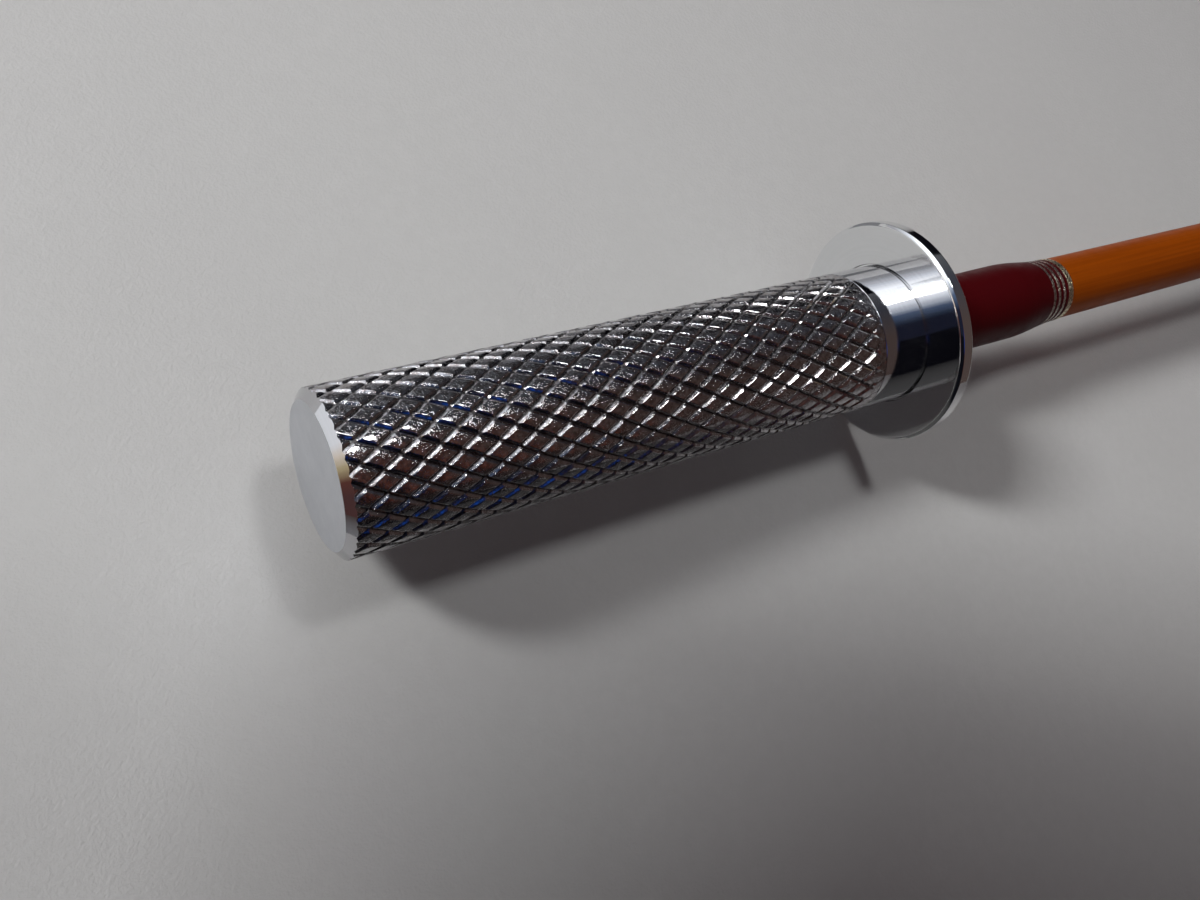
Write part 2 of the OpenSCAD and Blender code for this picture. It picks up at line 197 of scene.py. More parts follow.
class Finishes(bpy.types.PropertyGroup):
    """Colours and gloss of the finishes."""

    chrome: colour("Chrome", "Tint of the hand stop's chrome plate", (0.86, 0.87, 0.88))
    neck: colour("Neck chrome", "Tint of the chrome on the neck and the chamfer", (0.62, 0.62, 0.64))
    knurl: colour("Knurled chrome", "Tint of the worn chrome on the knurl", (0.54, 0.54, 0.56))
    dulled: colour("Dulled chrome", "Tint of the small dull patches on the knurl", (0.24, 0.20, 0.19))
    # Dirt and painted shade deep in the grooves of the knurl.
    grime_and_shade: colour("Groove grime", "Tint of the chrome deep in the grooves", (0.030, 0.027, 0.028))
    butt: colour("Butt face", "Tint of the satin butt face", (0.62, 0.64, 0.68))
    steel: colour("Steel", "Tint of the stud", (0.50, 0.51, 0.53))
    brass: colour("Brass", "Tint of the ferrule", (0.66, 0.46, 0.18))
    rubber: colour("Rubber", "Colour of the ring", (0.012, 0.012, 0.013))
    amber: colour("Amber", "Colour of the rod", (0.30, 0.058, 0.0012))
    amber_streak: colour("Amber streak", "Colour of the rod's darker fibres", (0.20, 0.034, 0.0008))
    maroon: colour("Maroon", "Colour of the whipping", (0.066, 0.0024, 0.004))
    maroon_dark: colour("Dark maroon", "Colour between the whipping's turns", (0.026, 0.0011, 0.002))
    silver: colour("Silver thread", "Colour of the narrow bands", (0.90, 0.78, 0.68))
    gold: colour("Pale gold thread", "Colour of the broad bands", (0.95, 0.81, 0.56))
    chrome_gloss: share("Chrome roughness", "Least roughness of the polished chrome", 0.035)
    knurl_gloss: share("Knurl roughness", "Least roughness of the worn chrome on the knurl", 0.045)
    paper: colour("Paper", "Colour of the floor", (0.546, 0.547, 0.541))


class StageSettings(bpy.types.PropertyGroup):
    """Place of the camera, the floor, the lamps and the cards."""

    camera_place: FloatVectorProperty(
        name="Camera place",
        description="Where the camera stands",
        default=(-0.074335, -0.021196, 0.075337),
        subtype="TRANSLATION",
        unit="LENGTH",
        precision=5,
    )
    heading: angle("Heading", "Camera heading, from +Y towards +X", 67.345)
    pitch: angle("Pitch", "Camera pitch above the horizon", -58.907)
    roll: angle("Roll", "Camera roll to the left", 48.418)
    lens: FloatProperty(name="Lens", description="Focal length in mm on a 36 mm sensor", default=33.0)
    floor_size: length("Floor size", "Side of the square floor", 4.0)
    top_power: lamp_power("Top power", "Power of the lamp over the hand stop", 0.277)
    window_power: lamp_power("Window power", "Power of the lamp behind the butt", 2.71)
    sky: colour("Surroundings", "Colour of the pale surroundings", (0.42, 0.43, 0.45))
    fill: colour("Fill", "Even light that the surroundings give", (0.115, 0.098, 0.103))
    # The card glows below are painted reflections: the cards are seen only in the chrome's reflections.
    black: colour("Black card", "Glow of the card in front", (0.004, 0.004, 0.006))
    navy: colour("Navy card", "Darkest glow of the card over the butt", (0.006, 0.007, 0.014))
    blue: colour("Blue card", "Bluest glow of the card over the butt", (0.045, 0.066, 0.112))
    shade: colour("Shade card", "Glow of the low card in front of the grip", (0.080, 0.078, 0.078))
    dusk: colour("Dusk card", "Glow of the cards around the rod", (0.074, 0.053, 0.048))
    evening: colour("Evening card", "Glow of the card over the rod, further back", (0.048, 0.051, 0.064))
    brown: colour("Brown card", "Glow of the warm cards over and before the grip", (0.125, 0.046, 0.035))
    maroon: colour("Maroon card", "Glow of the card beyond the butt", (0.085, 0.040, 0.038))
    slate: colour("Slate card", "Glow of the card behind the rod", (0.100, 0.103, 0.112))
    grey: colour("Grey card", "Glow of the cards behind the butt", (0.20, 0.20, 0.21))
    glow: colour("Blue glow", "Glow of the blue cards high in front of the butt", (0.014, 0.075, 0.38))
    gold: colour("Gold card", "Glow of the middle of the low card beyond the butt", (0.50, 0.41, 0.24))
    cream: colour("Cream card", "Glow of the far side of that low card", (0.84, 0.74, 0.63))
    pale: colour("Pale card", "Glow of the card beyond the butt, on the far side", (0.62, 0.60, 0.53))
    haze: colour("Haze card", "Glow of the window's edge", (0.50, 0.52, 0.56))
    # Painted highlight: cards around the window lamp glow so that its reflections in the chrome are
    # wider.
    window: colour("Window card", "Glow around the lamp behind the butt", (0.95, 0.97, 1.0))
    window_strength: FloatProperty(
        name="Window strength", description="How much brighter cards near the window glow", default=2.0
    )


class RodGripSettings(bpy.types.PropertyGroup):
    """All settings of the rod grip."""

    grip: PointerProperty(type=GripSizes)
    stud: PointerProperty(type=StudSizes)
    rod: PointerProperty(type=RodSizes)
    finishes: PointerProperty(type=Finishes)
    stage: PointerProperty(type=StageSettings)


# Surfaces


def turned(profile, turns):
    """A profile of (x, radius) rows turned about the X axis, one column for each angle of turns.

    The point of row i and column j is (x_i, r_i cos a_j, r_i sin a_j).
    """
    x, radius = np.asarray(profile, float).T
    across = np.ones_like(turns)
    return np.stack(
        [np.outer(x, across), np.outer(radius, np.cos(turns)), np.outer(radius, np.sin(turns))], axis=-1
    )


def even_turns(columns):
    """Angles of evenly spaced columns around the axis."""
    return np.arange(columns) * FULL_TURN / columns


def ring_numbers(first, rings):
    """Numbers of the points of turned rings, one row for each ring, counted on from first."""
    rows, columns = rings.shape[:2]
    return first + np.arange(rows * columns).reshape(rows, columns)


def strip(low, high):
    """Quads between rings of point numbers and the rings that follow them along the profile.

    They face away from the axis where the profile runs along +X.
    """
    corners = [low, np.roll(low, -1, axis=-1), np.roll(high, -1, axis=-1), high]
    return np.stack(corners, axis=-1).reshape(-1, 4)


def closed_quads(rows, columns):
    """Quads of a turned grid whose profile is closed: its last row is joined to its first."""
    numbers = np.arange(rows * columns).reshape(rows, columns)
    return strip(numbers, np.roll(numbers, -1, axis=0))


def fan(ring, pole, pole_first):
    """Triangles between a ring and a pole, which the profile starts from or else ends at."""
    after, tips = np.roll(ring, -1), np.full_like(ring, pole)
    return np.stack([tips, after, ring] if pole_first else [ring, after, tips], axis=-1)


def used_points(quads, triangles):
    """Numbers of the points that the faces use, and the faces with their points counted anew."""
    corners = np.concatenate([quads.ravel(), triangles.ravel()])
    used, numbers = np.unique(corners, return_inverse=True)
    return used, numbers[: quads.size].reshape(-1, 4), numbers[quads.size :].reshape(-1, 3)


def eased(corners, ease, closed=True):
    """A profile whose corners are rounded.

    A corner becomes five points: two on each line to its neighbours, at two and one times ease,
    and the middle of the curve between the inner two. An open profile keeps its two end points.
    """
    corners = np.asarray(corners, float)
    before = np.roll(corners, 1, axis=0) - corners
    after = np.roll(corners, -1, axis=0) - corners
    before /= np.linalg.norm(before, axis=1, keepdims=True)
    after /= np.linalg.norm(after, axis=1, keepdims=True)
    ease = np.broadcast_to(np.asarray(ease, float), len(corners))[:, None]
    steps = np.stack(
        [
            corners + 2 * ease * before,
            corners + ease * before,
            corners + ease * (before + after) / 4,
            corners + ease * after,
            corners + 2 * ease * after,
        ],
        axis=1,
    )
    if closed:
        return steps.reshape(-1, 2)
    return np.concatenate([corners[:1], steps[1:-1].reshape(-1, 2), corners[-1:]])


def clipped(points, triangles, level):
    """The part of a triangle surface where level, given at each point, is not negative.

    A triangle that crosses zero is cut where level, taken as straight along an edge, is zero.
    Returns the points with the new ones added, the triangles, and the new points' numbers in their
    order around the axis.
    """
    inside = level >= 0
    kept = inside[triangles].sum(axis=1)
    whole = triangles[kept == 3]
    crossing = triangles[(kept == 1) | (kept == 2)]
    lone = inside[crossing].sum(axis=1) == 1
    odd = np.where(lone, inside[crossing].argmax(axis=1), inside[crossing].argmin(axis=1))
    rows = np.arange(len(crossing))
    a, b, c = (crossing[rows, (odd + step) % 3] for step in range(3))
    edges = np.sort(np.concatenate([np.stack([a, b], 1), np.stack([a, c], 1)]), axis=1)
    cut, place = np.unique(edges, axis=0, return_inverse=True)
    start, end = level[cut[:, 0]], level[cut[:, 1]]
    along = (start / (start - end))[:, None]
    fresh = points[cut[:, 0]] + along * (points[cut[:, 1]] - points[cut[:, 0]])
    numbers = len(points) + place.reshape(-1)
    ab, ac = numbers[: len(a)], numbers[len(a) :]
    tips = np.stack([a, ab, ac], 1)[lone]
    stumps = np.stack([ab, b, c], 1)[~lone]
    rests = np.stack([ab, c, ac], 1)[~lone]
    surface = np.concatenate([whole, tips, stumps, rests])
    return np.concatenate([points, fresh]), surface, len(points) + np.argsort(around_axis(fresh))


def around_axis(points):
    """Angle of each point about the X axis, from 0 to a full turn."""
    return np.arctan2(points[:, 2], points[:, 1]) % FULL_TURN


def from_axis(points):
    """Distance of each point from the X axis."""
    return np.hypot(points[:, 1], points[:, 2])


def swell(share_along):
    """A smooth rise from 0 to 1, half a cosine wave long."""
    return (1 - np.cos(np.pi * np.clip(share_along, 0, 1))) / 2


def knurl_advance(grip):
    """Distance along the axis between two grooves of one family."""
    return FULL_TURN * grip.crest_radius / (grip.starts * math.tan(grip.slant))


def groove_share(grip):
    """Half the width of a groove, as a share of the distance across to the next one of its family."""
    spacing = FULL_TURN * grip.crest_radius * math.cos(grip.slant) / grip.starts
    return grip.groove_depth / (math.tan(grip.groove_wall) * spacing)


def knurl_depth(grip, left, right):
    """How deep the knurl lies below its crests, and how far into a groove, from 0 to 1.

    left and right count the grooves of the two families. Each groove is a V whose walls rise evenly
    over half its width and are worn round at the edge, and the deeper of the two families counts.
    The diamond between them has a low crown and a small tilt of its own, which fade in the grooves.
    """
    worn = 0.2
    falls = [1 - np.abs(count - np.rint(count)) / groove_share(grip) for count in (left, right)]
    groove = np.maximum(*falls)
    rounded = (np.clip(groove, -worn, worn) + worn) ** 2 / (4 * worn)
    groove = np.where(groove > worn, groove, rounded)
    cell_left, cell_right = np.floor(left).astype(int), np.floor(right).astype(int)
    off_left, off_right = left - cell_left - 0.5, right - cell_right - 0.5
    rows = cell_left - cell_right
    first = rows.min()
    tilts = np.random.default_rng(grip.starts).normal(size=(grip.starts, rows.max() - first + 1, 2))
    tilt = tilts[cell_left % grip.starts, rows - first]
    rise = 2 * grip.tilt * (tilt[..., 0] * off_left + tilt[..., 1] * off_right)
    rise = rise - 2 * grip.crown * (off_left**2 + off_right**2)
    return groove * grip.groove_depth - (1 - groove) * rise, groove


def knurl_surface(grip):
    """Points of the knurled wall, as (x, y, z, groove) rows, and its triangles.

    The grid follows the grooves: its two parameters count the grooves of the two families, with
    extra lines at the groove's bottom, on its wall, at its edge and on the diamond. Half the sum of
    the counts gives the angle and half the difference the place along the axis. The depth fades
    smoothly towards the butt's chamfer and towards the neck.
    """
    half = groove_share(grip)
    worn_low, worn_high = 0.8 * half, 1.22 * half
    lines = np.array([0, worn_low, half, worn_high, 0.5, 1 - worn_high, 1 - half, 1 - worn_low])
    step = knurl_advance(grip) / 2
    columns = len(lines) * grip.starts
    spare_before, spare_after = 2, 3
    last = math.ceil((grip.knurl_end_x - grip.butt_x) / step) + spare_after
    spread = np.arange(-spare_before * len(lines), last * len(lines))

    def count(number):
        return number // len(lines) + lines[number % len(lines)]

    number = np.arange(columns)
    left = np.broadcast_to(count(number), (len(spread), columns))
    right = count(number[None, :] - spread[:, None])
    turn = math.pi * (left + right) / grip.starts
    x = grip.butt_x + (left - right - 1) * step
    depth, groove = knurl_depth(grip, left, right)
    at_butt = swell((x - grip.butt_x - grip.chamfer_length / 2) / grip.fade_length)
    at_neck = swell((grip.knurl_end_x - x) / grip.neck_fade)
    kept = grip.fade_share + (1 - grip.fade_share) * at_butt
    kept = kept * (grip.neck_share + (1 - grip.neck_share) * at_neck)
    groove = groove * kept
    radius = grip.crest_radius - depth * kept
    points = np.stack([x, radius * np.cos(turn), radius * np.sin(turn), groove], axis=-1).reshape(-1, 4)
    row = np.arange(1, len(spread) - 1)[:, None]
    column = np.arange(columns)[None, :]
    after = (column + 1) % columns
    here, beside = row * columns + column, row * columns + after
    above, below = (row + 1) * columns + after, (row - 1) * columns + column
    first = np.stack([here, below, beside], -1).reshape(-1, 3)
    second = np.stack([here, beside, above], -1).reshape(-1, 3)
    return points, np.concatenate([first, second])


def grip_surface(grip):
    """Points, groove shares, quads and triangles of the whole grip, each face with its finish.

    The knurled wall is cut by two cones, the butt's chamfer and the slope at the neck, on which x
    grows evenly with the radius. Each cut edge is then carried on as turned rings: over the chamfer
    to the middle of the butt face, and over the slope, the neck and the spigot into the bore.
    A face's finish is the number of its material: knurl, lathe or face.
    """
    knurl, lathe, face = 0, 1, 2
    face_radius = grip.crest_radius - grip.chamfer_depth
    slope_height = grip.neck_radius - grip.runout_radius

    def chamfer_x(radius):
        return grip.butt_x + grip.chamfer_length * (radius - face_radius) / grip.chamfer_depth

    def slope_x(radius):
        return grip.knurl_end_x + grip.runout_length * (radius - grip.runout_radius) / slope_height

    points, triangles = knurl_surface(grip)
    past_chamfer = points[:, 0] - chamfer_x(from_axis(points))
    points, triangles, butt_edge = clipped(points, triangles, past_chamfer)
    before_slope = slope_x(from_axis(points)) - points[:, 0]
    points, triangles, neck_edge = clipped(points, triangles, before_slope)
    points[butt_edge, 0] = chamfer_x(from_axis(points[butt_edge]))
    points[neck_edge, 0] = slope_x(from_axis(points[neck_edge]))

    hair = 0.00002
    pole_ring, chamfer_ring, slope_ring, drill_ring, drill_depth = 0.3, 0.2, 0.05, 0.1, 0.45
    chamfer_radius = face_radius + chamfer_ring * grip.chamfer_depth
    slope_radius = grip.neck_radius - slope_ring * slope_height
    butt_corners = [
        (grip.butt_x, pole_ring * face_radius),
        (grip.butt_x, face_radius),
        (grip.butt_x + chamfer_ring * grip.chamfer_length, chamfer_radius),
    ]
    neck_corners = [
        (slope_x(slope_radius), slope_radius),
        (slope_x(grip.neck_radius), grip.neck_radius),
        (-grip.neck_gap, grip.neck_radius),
        (-grip.neck_gap, grip.spigot_radius),
        (grip.seat_depth, grip.spigot_radius),
        (grip.seat_depth, grip.counterbore_radius),
        (grip.counterbore_x, grip.counterbore_radius),
        (grip.counterbore_x, grip.bore_radius),
        (grip.bore_x, grip.bore_radius),
        (grip.bore_x - drill_depth * grip.bore_radius, drill_ring * grip.bore_radius),
    ]
    eases = np.full(len(neck_corners), hair)
    eases[:3] = 0.4 * hair, 0.4 * hair, 2 * hair
    butt_profile = eased(butt_corners, hair, closed=False)
    neck_profile = eased(neck_corners, eases, closed=False)

    butt_rings = turned(butt_profile, around_axis(points[butt_edge]))
    neck_rings = turned(neck_profile, around_axis(points[neck_edge]))
    poles = np.array([(grip.butt_x, 0, 0), (grip.bore_x - grip.bore_radius / 2, 0, 0)])
    butt = ring_numbers(len(points), butt_rings)
    neck = ring_numbers(len(points) + butt.size, neck_rings)
    butt_pole = len(points) + butt.size + neck.size
    rings = [butt_rings.reshape(-1, 3), neck_rings.reshape(-1, 3)]
    everything = np.concatenate([points[:, :3], *rings, poles])
    groove = np.concatenate([points[:, 3], np.zeros(len(everything) - len(points))])

    butt_quads = strip(butt[:-1], butt[1:])
    other_quads = [strip(butt[-1], butt_edge), strip(neck_edge, neck[0]), strip(neck[:-1], neck[1:])]
    quads = np.concatenate([butt_quads, *other_quads])
    butt_fan = fan(butt[0], butt_pole, pole_first=True)
    bore_fan = fan(neck[-1], butt_pole + 1, pole_first=False)
    face_rows = 3
    on_face = np.arange(len(butt_quads)) < face_rows * butt.shape[1]
    finishes = np.concatenate(
        [
            np.where(on_face, face, lathe),
            np.full(len(quads) - len(butt_quads), lathe),
            np.full(len(triangles), knurl),
            np.full(len(butt_fan), face),
            np.full(len(bore_fan), lathe),
        ]
    )
    used, quads, triangles = used_points(quads, np.concatenate([triangles, butt_fan, bore_fan]))
    return everything[used], groove[used], quads, triangles, finishes


def stud_surface(stud, stop_thickness):
    """Points, quads and triangles of the stud: a helical thread, then turned rings.

    The thread's rows follow the helix: a row's share of a turn sets its radius, with flat crests and
    roots and straight flanks between, and x grows by one pitch in each turn. It is cut at both ends
    and carried on as rings to the pole of the tip and over the ring's groove to the tail.
    """
    per_turn = np.array([0.0, 0.03, 0.22, 0.25, 0.28, 0.47, 0.5, 0.53, 0.72, 0.75, 0.78, 0.97])
    root = stud.radius - stud.thread_depth
    turns, spare = round((stud.thread_end_x - stud.tip_x) / stud.pitch), 3
    phases = (np.arange(-spare, turns + spare)[:, None] + per_turn).ravel()
    crest = np.interp(phases % 1, [0, 0.25, 0.5, 0.75, 1], [0, 0, 1, 1, 0])
    columns = 96
    turn = even_turns(columns)
    x = stud.tip_x + stud.pitch * (phases[:, None] + turn / FULL_TURN)
    radius = (root + stud.thread_depth * crest)[:, None]
    points = np.stack([x, radius * np.cos(turn), radius * np.sin(turn)], axis=-1).reshape(-1, 3)
    row = np.arange(len(phases) - len(per_turn))[:, None]
    column = np.arange(columns)[None, :]
    wrap = np.where(column == columns - 1, len(per_turn), 0)
    low = row * columns + column
    low_after = (row + wrap) * columns + (column + 1) % columns
    first = np.stack([low, low_after, low_after + columns], -1).reshape(-1, 3)
    second = np.stack([low, low_after + columns, low + columns], -1).reshape(-1, 3)
    first = first[(first < len(points)).all(axis=1)]
    second = second[(second < len(points)).all(axis=1)]
    lead = stud.tip_x + stud.lead_in * (from_axis(points) - root) / stud.thread_depth
    points, triangles, tip_edge = clipped(points, np.concatenate([first, second]), points[:, 0] - lead)
    points, triangles, end_edge = clipped(points, triangles, stud.thread_end_x - points[:, 0])

    hair, pole_ring = 0.00003, 0.2
    shank = eased(
        [
            (stud.thread_end_x, stud.radius - hair),
            (stud.thread_end_x, stud.radius),
            (stud.ring_groove_x, stud.radius),
            (stud.ring_groove_x, stud.ring_groove_radius),
            (-stud.land, stud.ring_groove_radius),
            (-stud.land, stud.radius),
            (stop_thickness, stud.radius),
            (stop_thickness, stud.tail_radius),
            (stud.tail_end_x, stud.tail_radius),
            (stud.tail_end_x, pole_ring * stud.tail_radius),
        ],
        hair / 4,
        closed=False,
    )
    rings = turned(shank, around_axis(points[end_edge]))
    numbers = ring_numbers(len(points), rings)
    tip_pole = len(points) + numbers.size
    poles = np.array([(stud.tip_x, 0, 0), (stud.tail_end_x, 0, 0)])
    everything = np.concatenate([points, rings.reshape(-1, 3), poles])
    quads = np.concatenate([strip(numbers[:-1], numbers[1:]), strip(end_edge, numbers[0])])
    tip = fan(tip_edge, tip_pole, pole_first=True)
    tail = fan(numbers[-1], tip_pole + 1, pole_first=False)
    used, quads, triangles = used_points(quads, np.concatenate([triangles, tip, tail]))
    return everything[used], quads, triangles


def rod_radius_at(rod, x):
    """Radius of the bare rod, which falls evenly from the ferrule to the mouth."""
    along = (x - rod.ferrule_end_x) / (rod.mouth_x - rod.ferrule_end_x)
    return rod.rod_radius + (rod.mouth_radius - rod.rod_radius) * along


def core_radius_at(rod, x):
    """Radius of what lies under the butt whipping: the ferrule, its tapered lip, then the rod."""
    lip = np.clip((rod.ferrule_end_x - x) / rod.ferrule_lip, 0, 1)
    on_ferrule = rod.rod_radius + (rod.ferrule_radius - rod.rod_radius) * lip
    return np.where(x < rod.ferrule_end_x, on_ferrule, rod_radius_at(rod, x))


def butt_whip_radius_at(rod, x):
    """Radius of the butt whipping: it swells gently, then falls in half a cosine wave to the rod."""
    band_low, band_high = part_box("butt_end_band")
    end_radius = rod_radius_at(rod, band_high.x) + rod.whip_skin
    rise = swell((x - rod.stop_thickness) / (rod.whip_fall_x - rod.stop_thickness))
    fall = swell((x - rod.whip_fall_x) / (band_low.x - rod.whip_fall_x))
    body = rod.whip_root_radius + (rod.whip_radius - rod.whip_root_radius) * rise
    return np.where(x < rod.whip_fall_x, body, end_radius + (rod.whip_radius - end_radius) * (1 - fall))


def mouth_whip_radius_at(rod, x):
    """Radius of the mouth whipping: the rod, a skin, and a smooth rise over the bands."""
    ramp_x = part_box("mouth_end_band")[0].x
    full_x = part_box("mouth_whipping")[0].x
    rise = swell((x - ramp_x) / (full_x - ramp_x))
    return rod_radius_at(rod, x) + rod.whip_skin + rod.mouth_whip_rise * rise


def wound_surface(low_x, high_x, outer_at, inner_at, thread, ridge, rows_per_turn, columns):
    """Points and quads of thread wound on the rod between two places along the axis.

    The outer wall follows outer_at, sunk between the turns by up to ridge: a turn's height is the
    root of a half sine of its phase, which runs along x and once around with each turn. The edges
    of the stretch are rounded off, and inner_at closes it on what it is wound on.
    """
    turns = max(1, round((high_x - low_x) / thread))
    rows = turns * rows_per_turn + 1
    along = np.linspace(0, 1, rows)
    x = (low_x + (high_x - low_x) * along)[:, None]
    turn = even_turns(columns)[None, :]
    phase = along[:, None] * turns - turn / FULL_TURN
    sunk = ridge * (1 - np.sqrt(np.abs(np.sin(np.pi * phase))))
    edge_width, inner_rows = 0.35 * thread, 12
    edge = np.clip(np.minimum(x - low_x, high_x - x) / edge_width, 0, 1)
    rounded = ridge * (1 - np.sqrt(1 - (1 - edge) ** 2))
    outer = outer_at(x) - sunk * edge - rounded
    inner_x = x[::-1][:: max(1, rows // inner_rows)]
    inner = np.repeat(inner_at(inner_x), columns, axis=1)
    radius = np.concatenate([outer, inner])
    place = np.repeat(np.concatenate([x, inner_x]), columns, axis=1)
    points = np.stack([place, radius * np.cos(turn), radius * np.sin(turn)], axis=-1)
    return points.reshape(-1, 3), closed_quads(len(radius), columns)


# Pieces


def make_piece(name, points, quads, triangles, materials, finishes=None, sharp=None):
    """A smooth mesh object from points, quads and triangles, with one finish number for each face.

    Edges whose faces meet at more than the angle sharp stay crisp.
    """
    mesh = bpy.data.meshes.new(name)
    quads = np.asarray(quads, np.int32).reshape(-1, 4)
    triangles = np.asarray(triangles, np.int32).reshape(-1, 3)
    corners = np.concatenate([quads.ravel(), triangles.ravel()]).astype(np.int32)
    starts = np.concatenate(
        [np.arange(len(quads)) * 4, quads.size + np.arange(len(triangles)) * 3]
    ).astype(np.int32)
    mesh.vertices.add(len(points))
    mesh.vertices.foreach_set("co", np.asarray(points, np.float32).ravel())
    mesh.loops.add(len(corners))
    mesh.loops.foreach_set("vertex_index", corners)
    mesh.polygons.add(len(starts))
    mesh.polygons.foreach_set("loop_start", starts)
    for material in materials:
        mesh.materials.append(material)
    if finishes is not None:
        mesh.polygons.foreach_set("material_index", np.asarray(finishes, np.int32))
    mesh.update(calc_edges=True)
    if mesh.validate():
        raise RuntimeError(f"{name} has faces that don't hold together")
    mesh.shade_smooth()
    if sharp is not None:
        mesh.set_sharp_from_angle(angle=sharp)
    piece = bpy.data.objects.new(name, mesh)
    bpy.context.scene.collection.objects.link(piece)
    return piece


def fit_piece(piece, body, node):
    """Sets a piece on its body in place of its node."""
    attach(piece, body)
    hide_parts(node)


def turned_piece(name, corners, ease, columns, material):
    """A closed turned piece from the corners of its profile, given along +X on the outside first."""
    profile = eased(corners, ease)
    points = turned(profile, even_turns(columns)).reshape(-1, 3)
    return make_piece(name, points, closed_quads(len(profile), columns), [], [material])


# Finishes


def fill(tree, socket, value):
    """Links an input to another node's output, or gives it a plain value."""
    if isinstance(value, bpy.types.NodeSocket):
        tree.links.new(value, socket)
    else:
        socket.default_value = value


def add_node(tree, kind, values=None, **settings):
    """A new node with its settings made and its inputs filled or linked."""
    made = tree.nodes.new(kind)
    for key, value in settings.items():
        setattr(made, key, value)
    for key, value in (values or {}).items():
        fill(tree, made.inputs[key], value)
    return made


def maths(tree, operation, first, second=0.0):
    """The output of a Math node."""
    return add_node(tree, "ShaderNodeMath", {0: first, 1: second}, operation=operation).outputs[0]


def remapped(tree, value, low, high, to_low=0.0, to_high=1.0):
    """The output of a smooth Map Range node."""
    values = {"Value": value, "From Min": low, "From Max": high, "To Min": to_low, "To Max": to_high}
    made = add_node(tree, "ShaderNodeMapRange", values, interpolation_type="SMOOTHSTEP")
    return made.outputs["Result"]


def mixed(tree, factor, first, second):
    """The colour output of a Mix node."""
    return add_node(tree, "ShaderNodeMix", {0: factor, 6: first, 7: second}, data_type="RGBA").outputs[2]


def noise(tree, **values):
    """The value of a Noise Texture, which has one dimension where it follows W."""
    dimensions = "1D" if "W" in values else "3D"
    return add_node(tree, "ShaderNodeTexNoise", values, noise_dimensions=dimensions).outputs[0]


def opaque(tint, factor=1.0):
    """A colour with full alpha, made darker or lighter by a factor."""
    return (*(factor * part for part in tint), 1.0)


def new_group(name, inputs, outputs):
    """A shader node group with named float sockets and a Vector input, and its two end nodes."""
    tree = bpy.data.node_groups.new(name, "ShaderNodeTree")
    tree.interface.new_socket("Vector", in_out="INPUT", socket_type="NodeSocketVector")
    for label, default in inputs:
        made = tree.interface.new_socket(label, in_out="INPUT", socket_type="NodeSocketFloat")
        made.default_value = default
    for label in outputs:
        tree.interface.new_socket(label, in_out="OUTPUT", socket_type="NodeSocketFloat")
    return tree, tree.nodes.new("NodeGroupInput").outputs, tree.nodes.new("NodeGroupOutput").inputs


def lathe_marks_group():
    """Fine rings left by the lathe and the polishing wheel: noise along x plus radius."""
    tree, given, result = new_group("lathe_marks", [("Spacing", 0.00005)], ["Height"])
    split = add_node(tree, "ShaderNodeSeparateXYZ", {0: given["Vector"]}).outputs
    squares = [maths(tree, "POWER", split[axis], 2.0) for axis in (1, 2)]
    path = maths(tree, "ADD", split[0], maths(tree, "SQRT", maths(tree, "ADD", *squares)))
    rings = noise(tree, W=maths(tree, "DIVIDE", path, given["Spacing"]), Scale=1.0, Detail=2.0)
    tree.links.new(rings, result["Height"])
    return tree


def soft_patches_group():
    """Soft patches of a given size between two values, for haze, tone and mottling."""
    inputs = [("Size", 0.002), ("Low", 0.0), ("High", 1.0)]
    tree, given, result = new_group("soft_patches", inputs, ["Value"])
    scale = maths(tree, "DIVIDE", 1.0, given["Size"])
    cloud = noise(tree, Vector=given["Vector"], Scale=scale, Detail=3.0, Roughness=0.6)
    tree.links.new(remapped(tree, cloud, 0.3, 0.7, given["Low"], given["High"]), result["Value"])
    return tree


def thread_lay_group():
    """Turns of wound thread: a half sine across each turn, a tone for each turn and a twist along it."""
    inputs = [("Thread", 0.0002), ("Twists", 70.0)]
    tree, given, result = new_group("thread_lay", inputs, ["Height", "Tone", "Twist"])
    split = add_node(tree, "ShaderNodeSeparateXYZ", {0: given["Vector"]}).outputs
    around = maths(tree, "DIVIDE", maths(tree, "ARCTAN2", split[2], split[1]), FULL_TURN)
    phase = maths(tree, "SUBTRACT", maths(tree, "DIVIDE", split[0], given["Thread"]), around)
    slant = maths(tree, "ADD", maths(tree, "MULTIPLY", around, given["Twists"]), phase)

    def half_sines(count):
        return maths(tree, "ABSOLUTE", maths(tree, "SINE", maths(tree, "MULTIPLY", count, math.pi)))

    tone = noise(tree, W=phase, Scale=0.7, Detail=1.0)
    tree.links.new(maths(tree, "SQRT", half_sines(phase)), result["Height"])
    tree.links.new(remapped(tree, tone, 0.3, 0.7), result["Tone"])
    tree.links.new(half_sines(slant), result["Twist"])
    return tree


def long_fibres_group():
    """Long fibres along the axis, as noise that is drawn out along x."""
    tree, given, result = new_group("long_fibres", [("Width", 0.0002), ("Stretch", 60.0)], ["Value"])
    along = maths(tree, "DIVIDE", 1.0, given["Stretch"])
    shape = add_node(tree, "ShaderNodeCombineXYZ", {"X": along, "Y": 1.0, "Z": 1.0}).outputs[0]
    drawn = add_node(tree, "ShaderNodeVectorMath", {0: given["Vector"], 1: shape}, operation="MULTIPLY")
    scale = maths(tree, "DIVIDE", 1.0, given["Width"])
    fibres = noise(tree, Vector=drawn.outputs[0], Scale=scale, Detail=4.0)
    tree.links.new(remapped(tree, fibres, 0.32, 0.68), result["Value"])
    return tree


EFFECTS = {
    "lathe_marks": lathe_marks_group,
    "soft_patches": soft_patches_group,
    "thread_lay": thread_lay_group,
    "long_fibres": long_fibres_group,
}


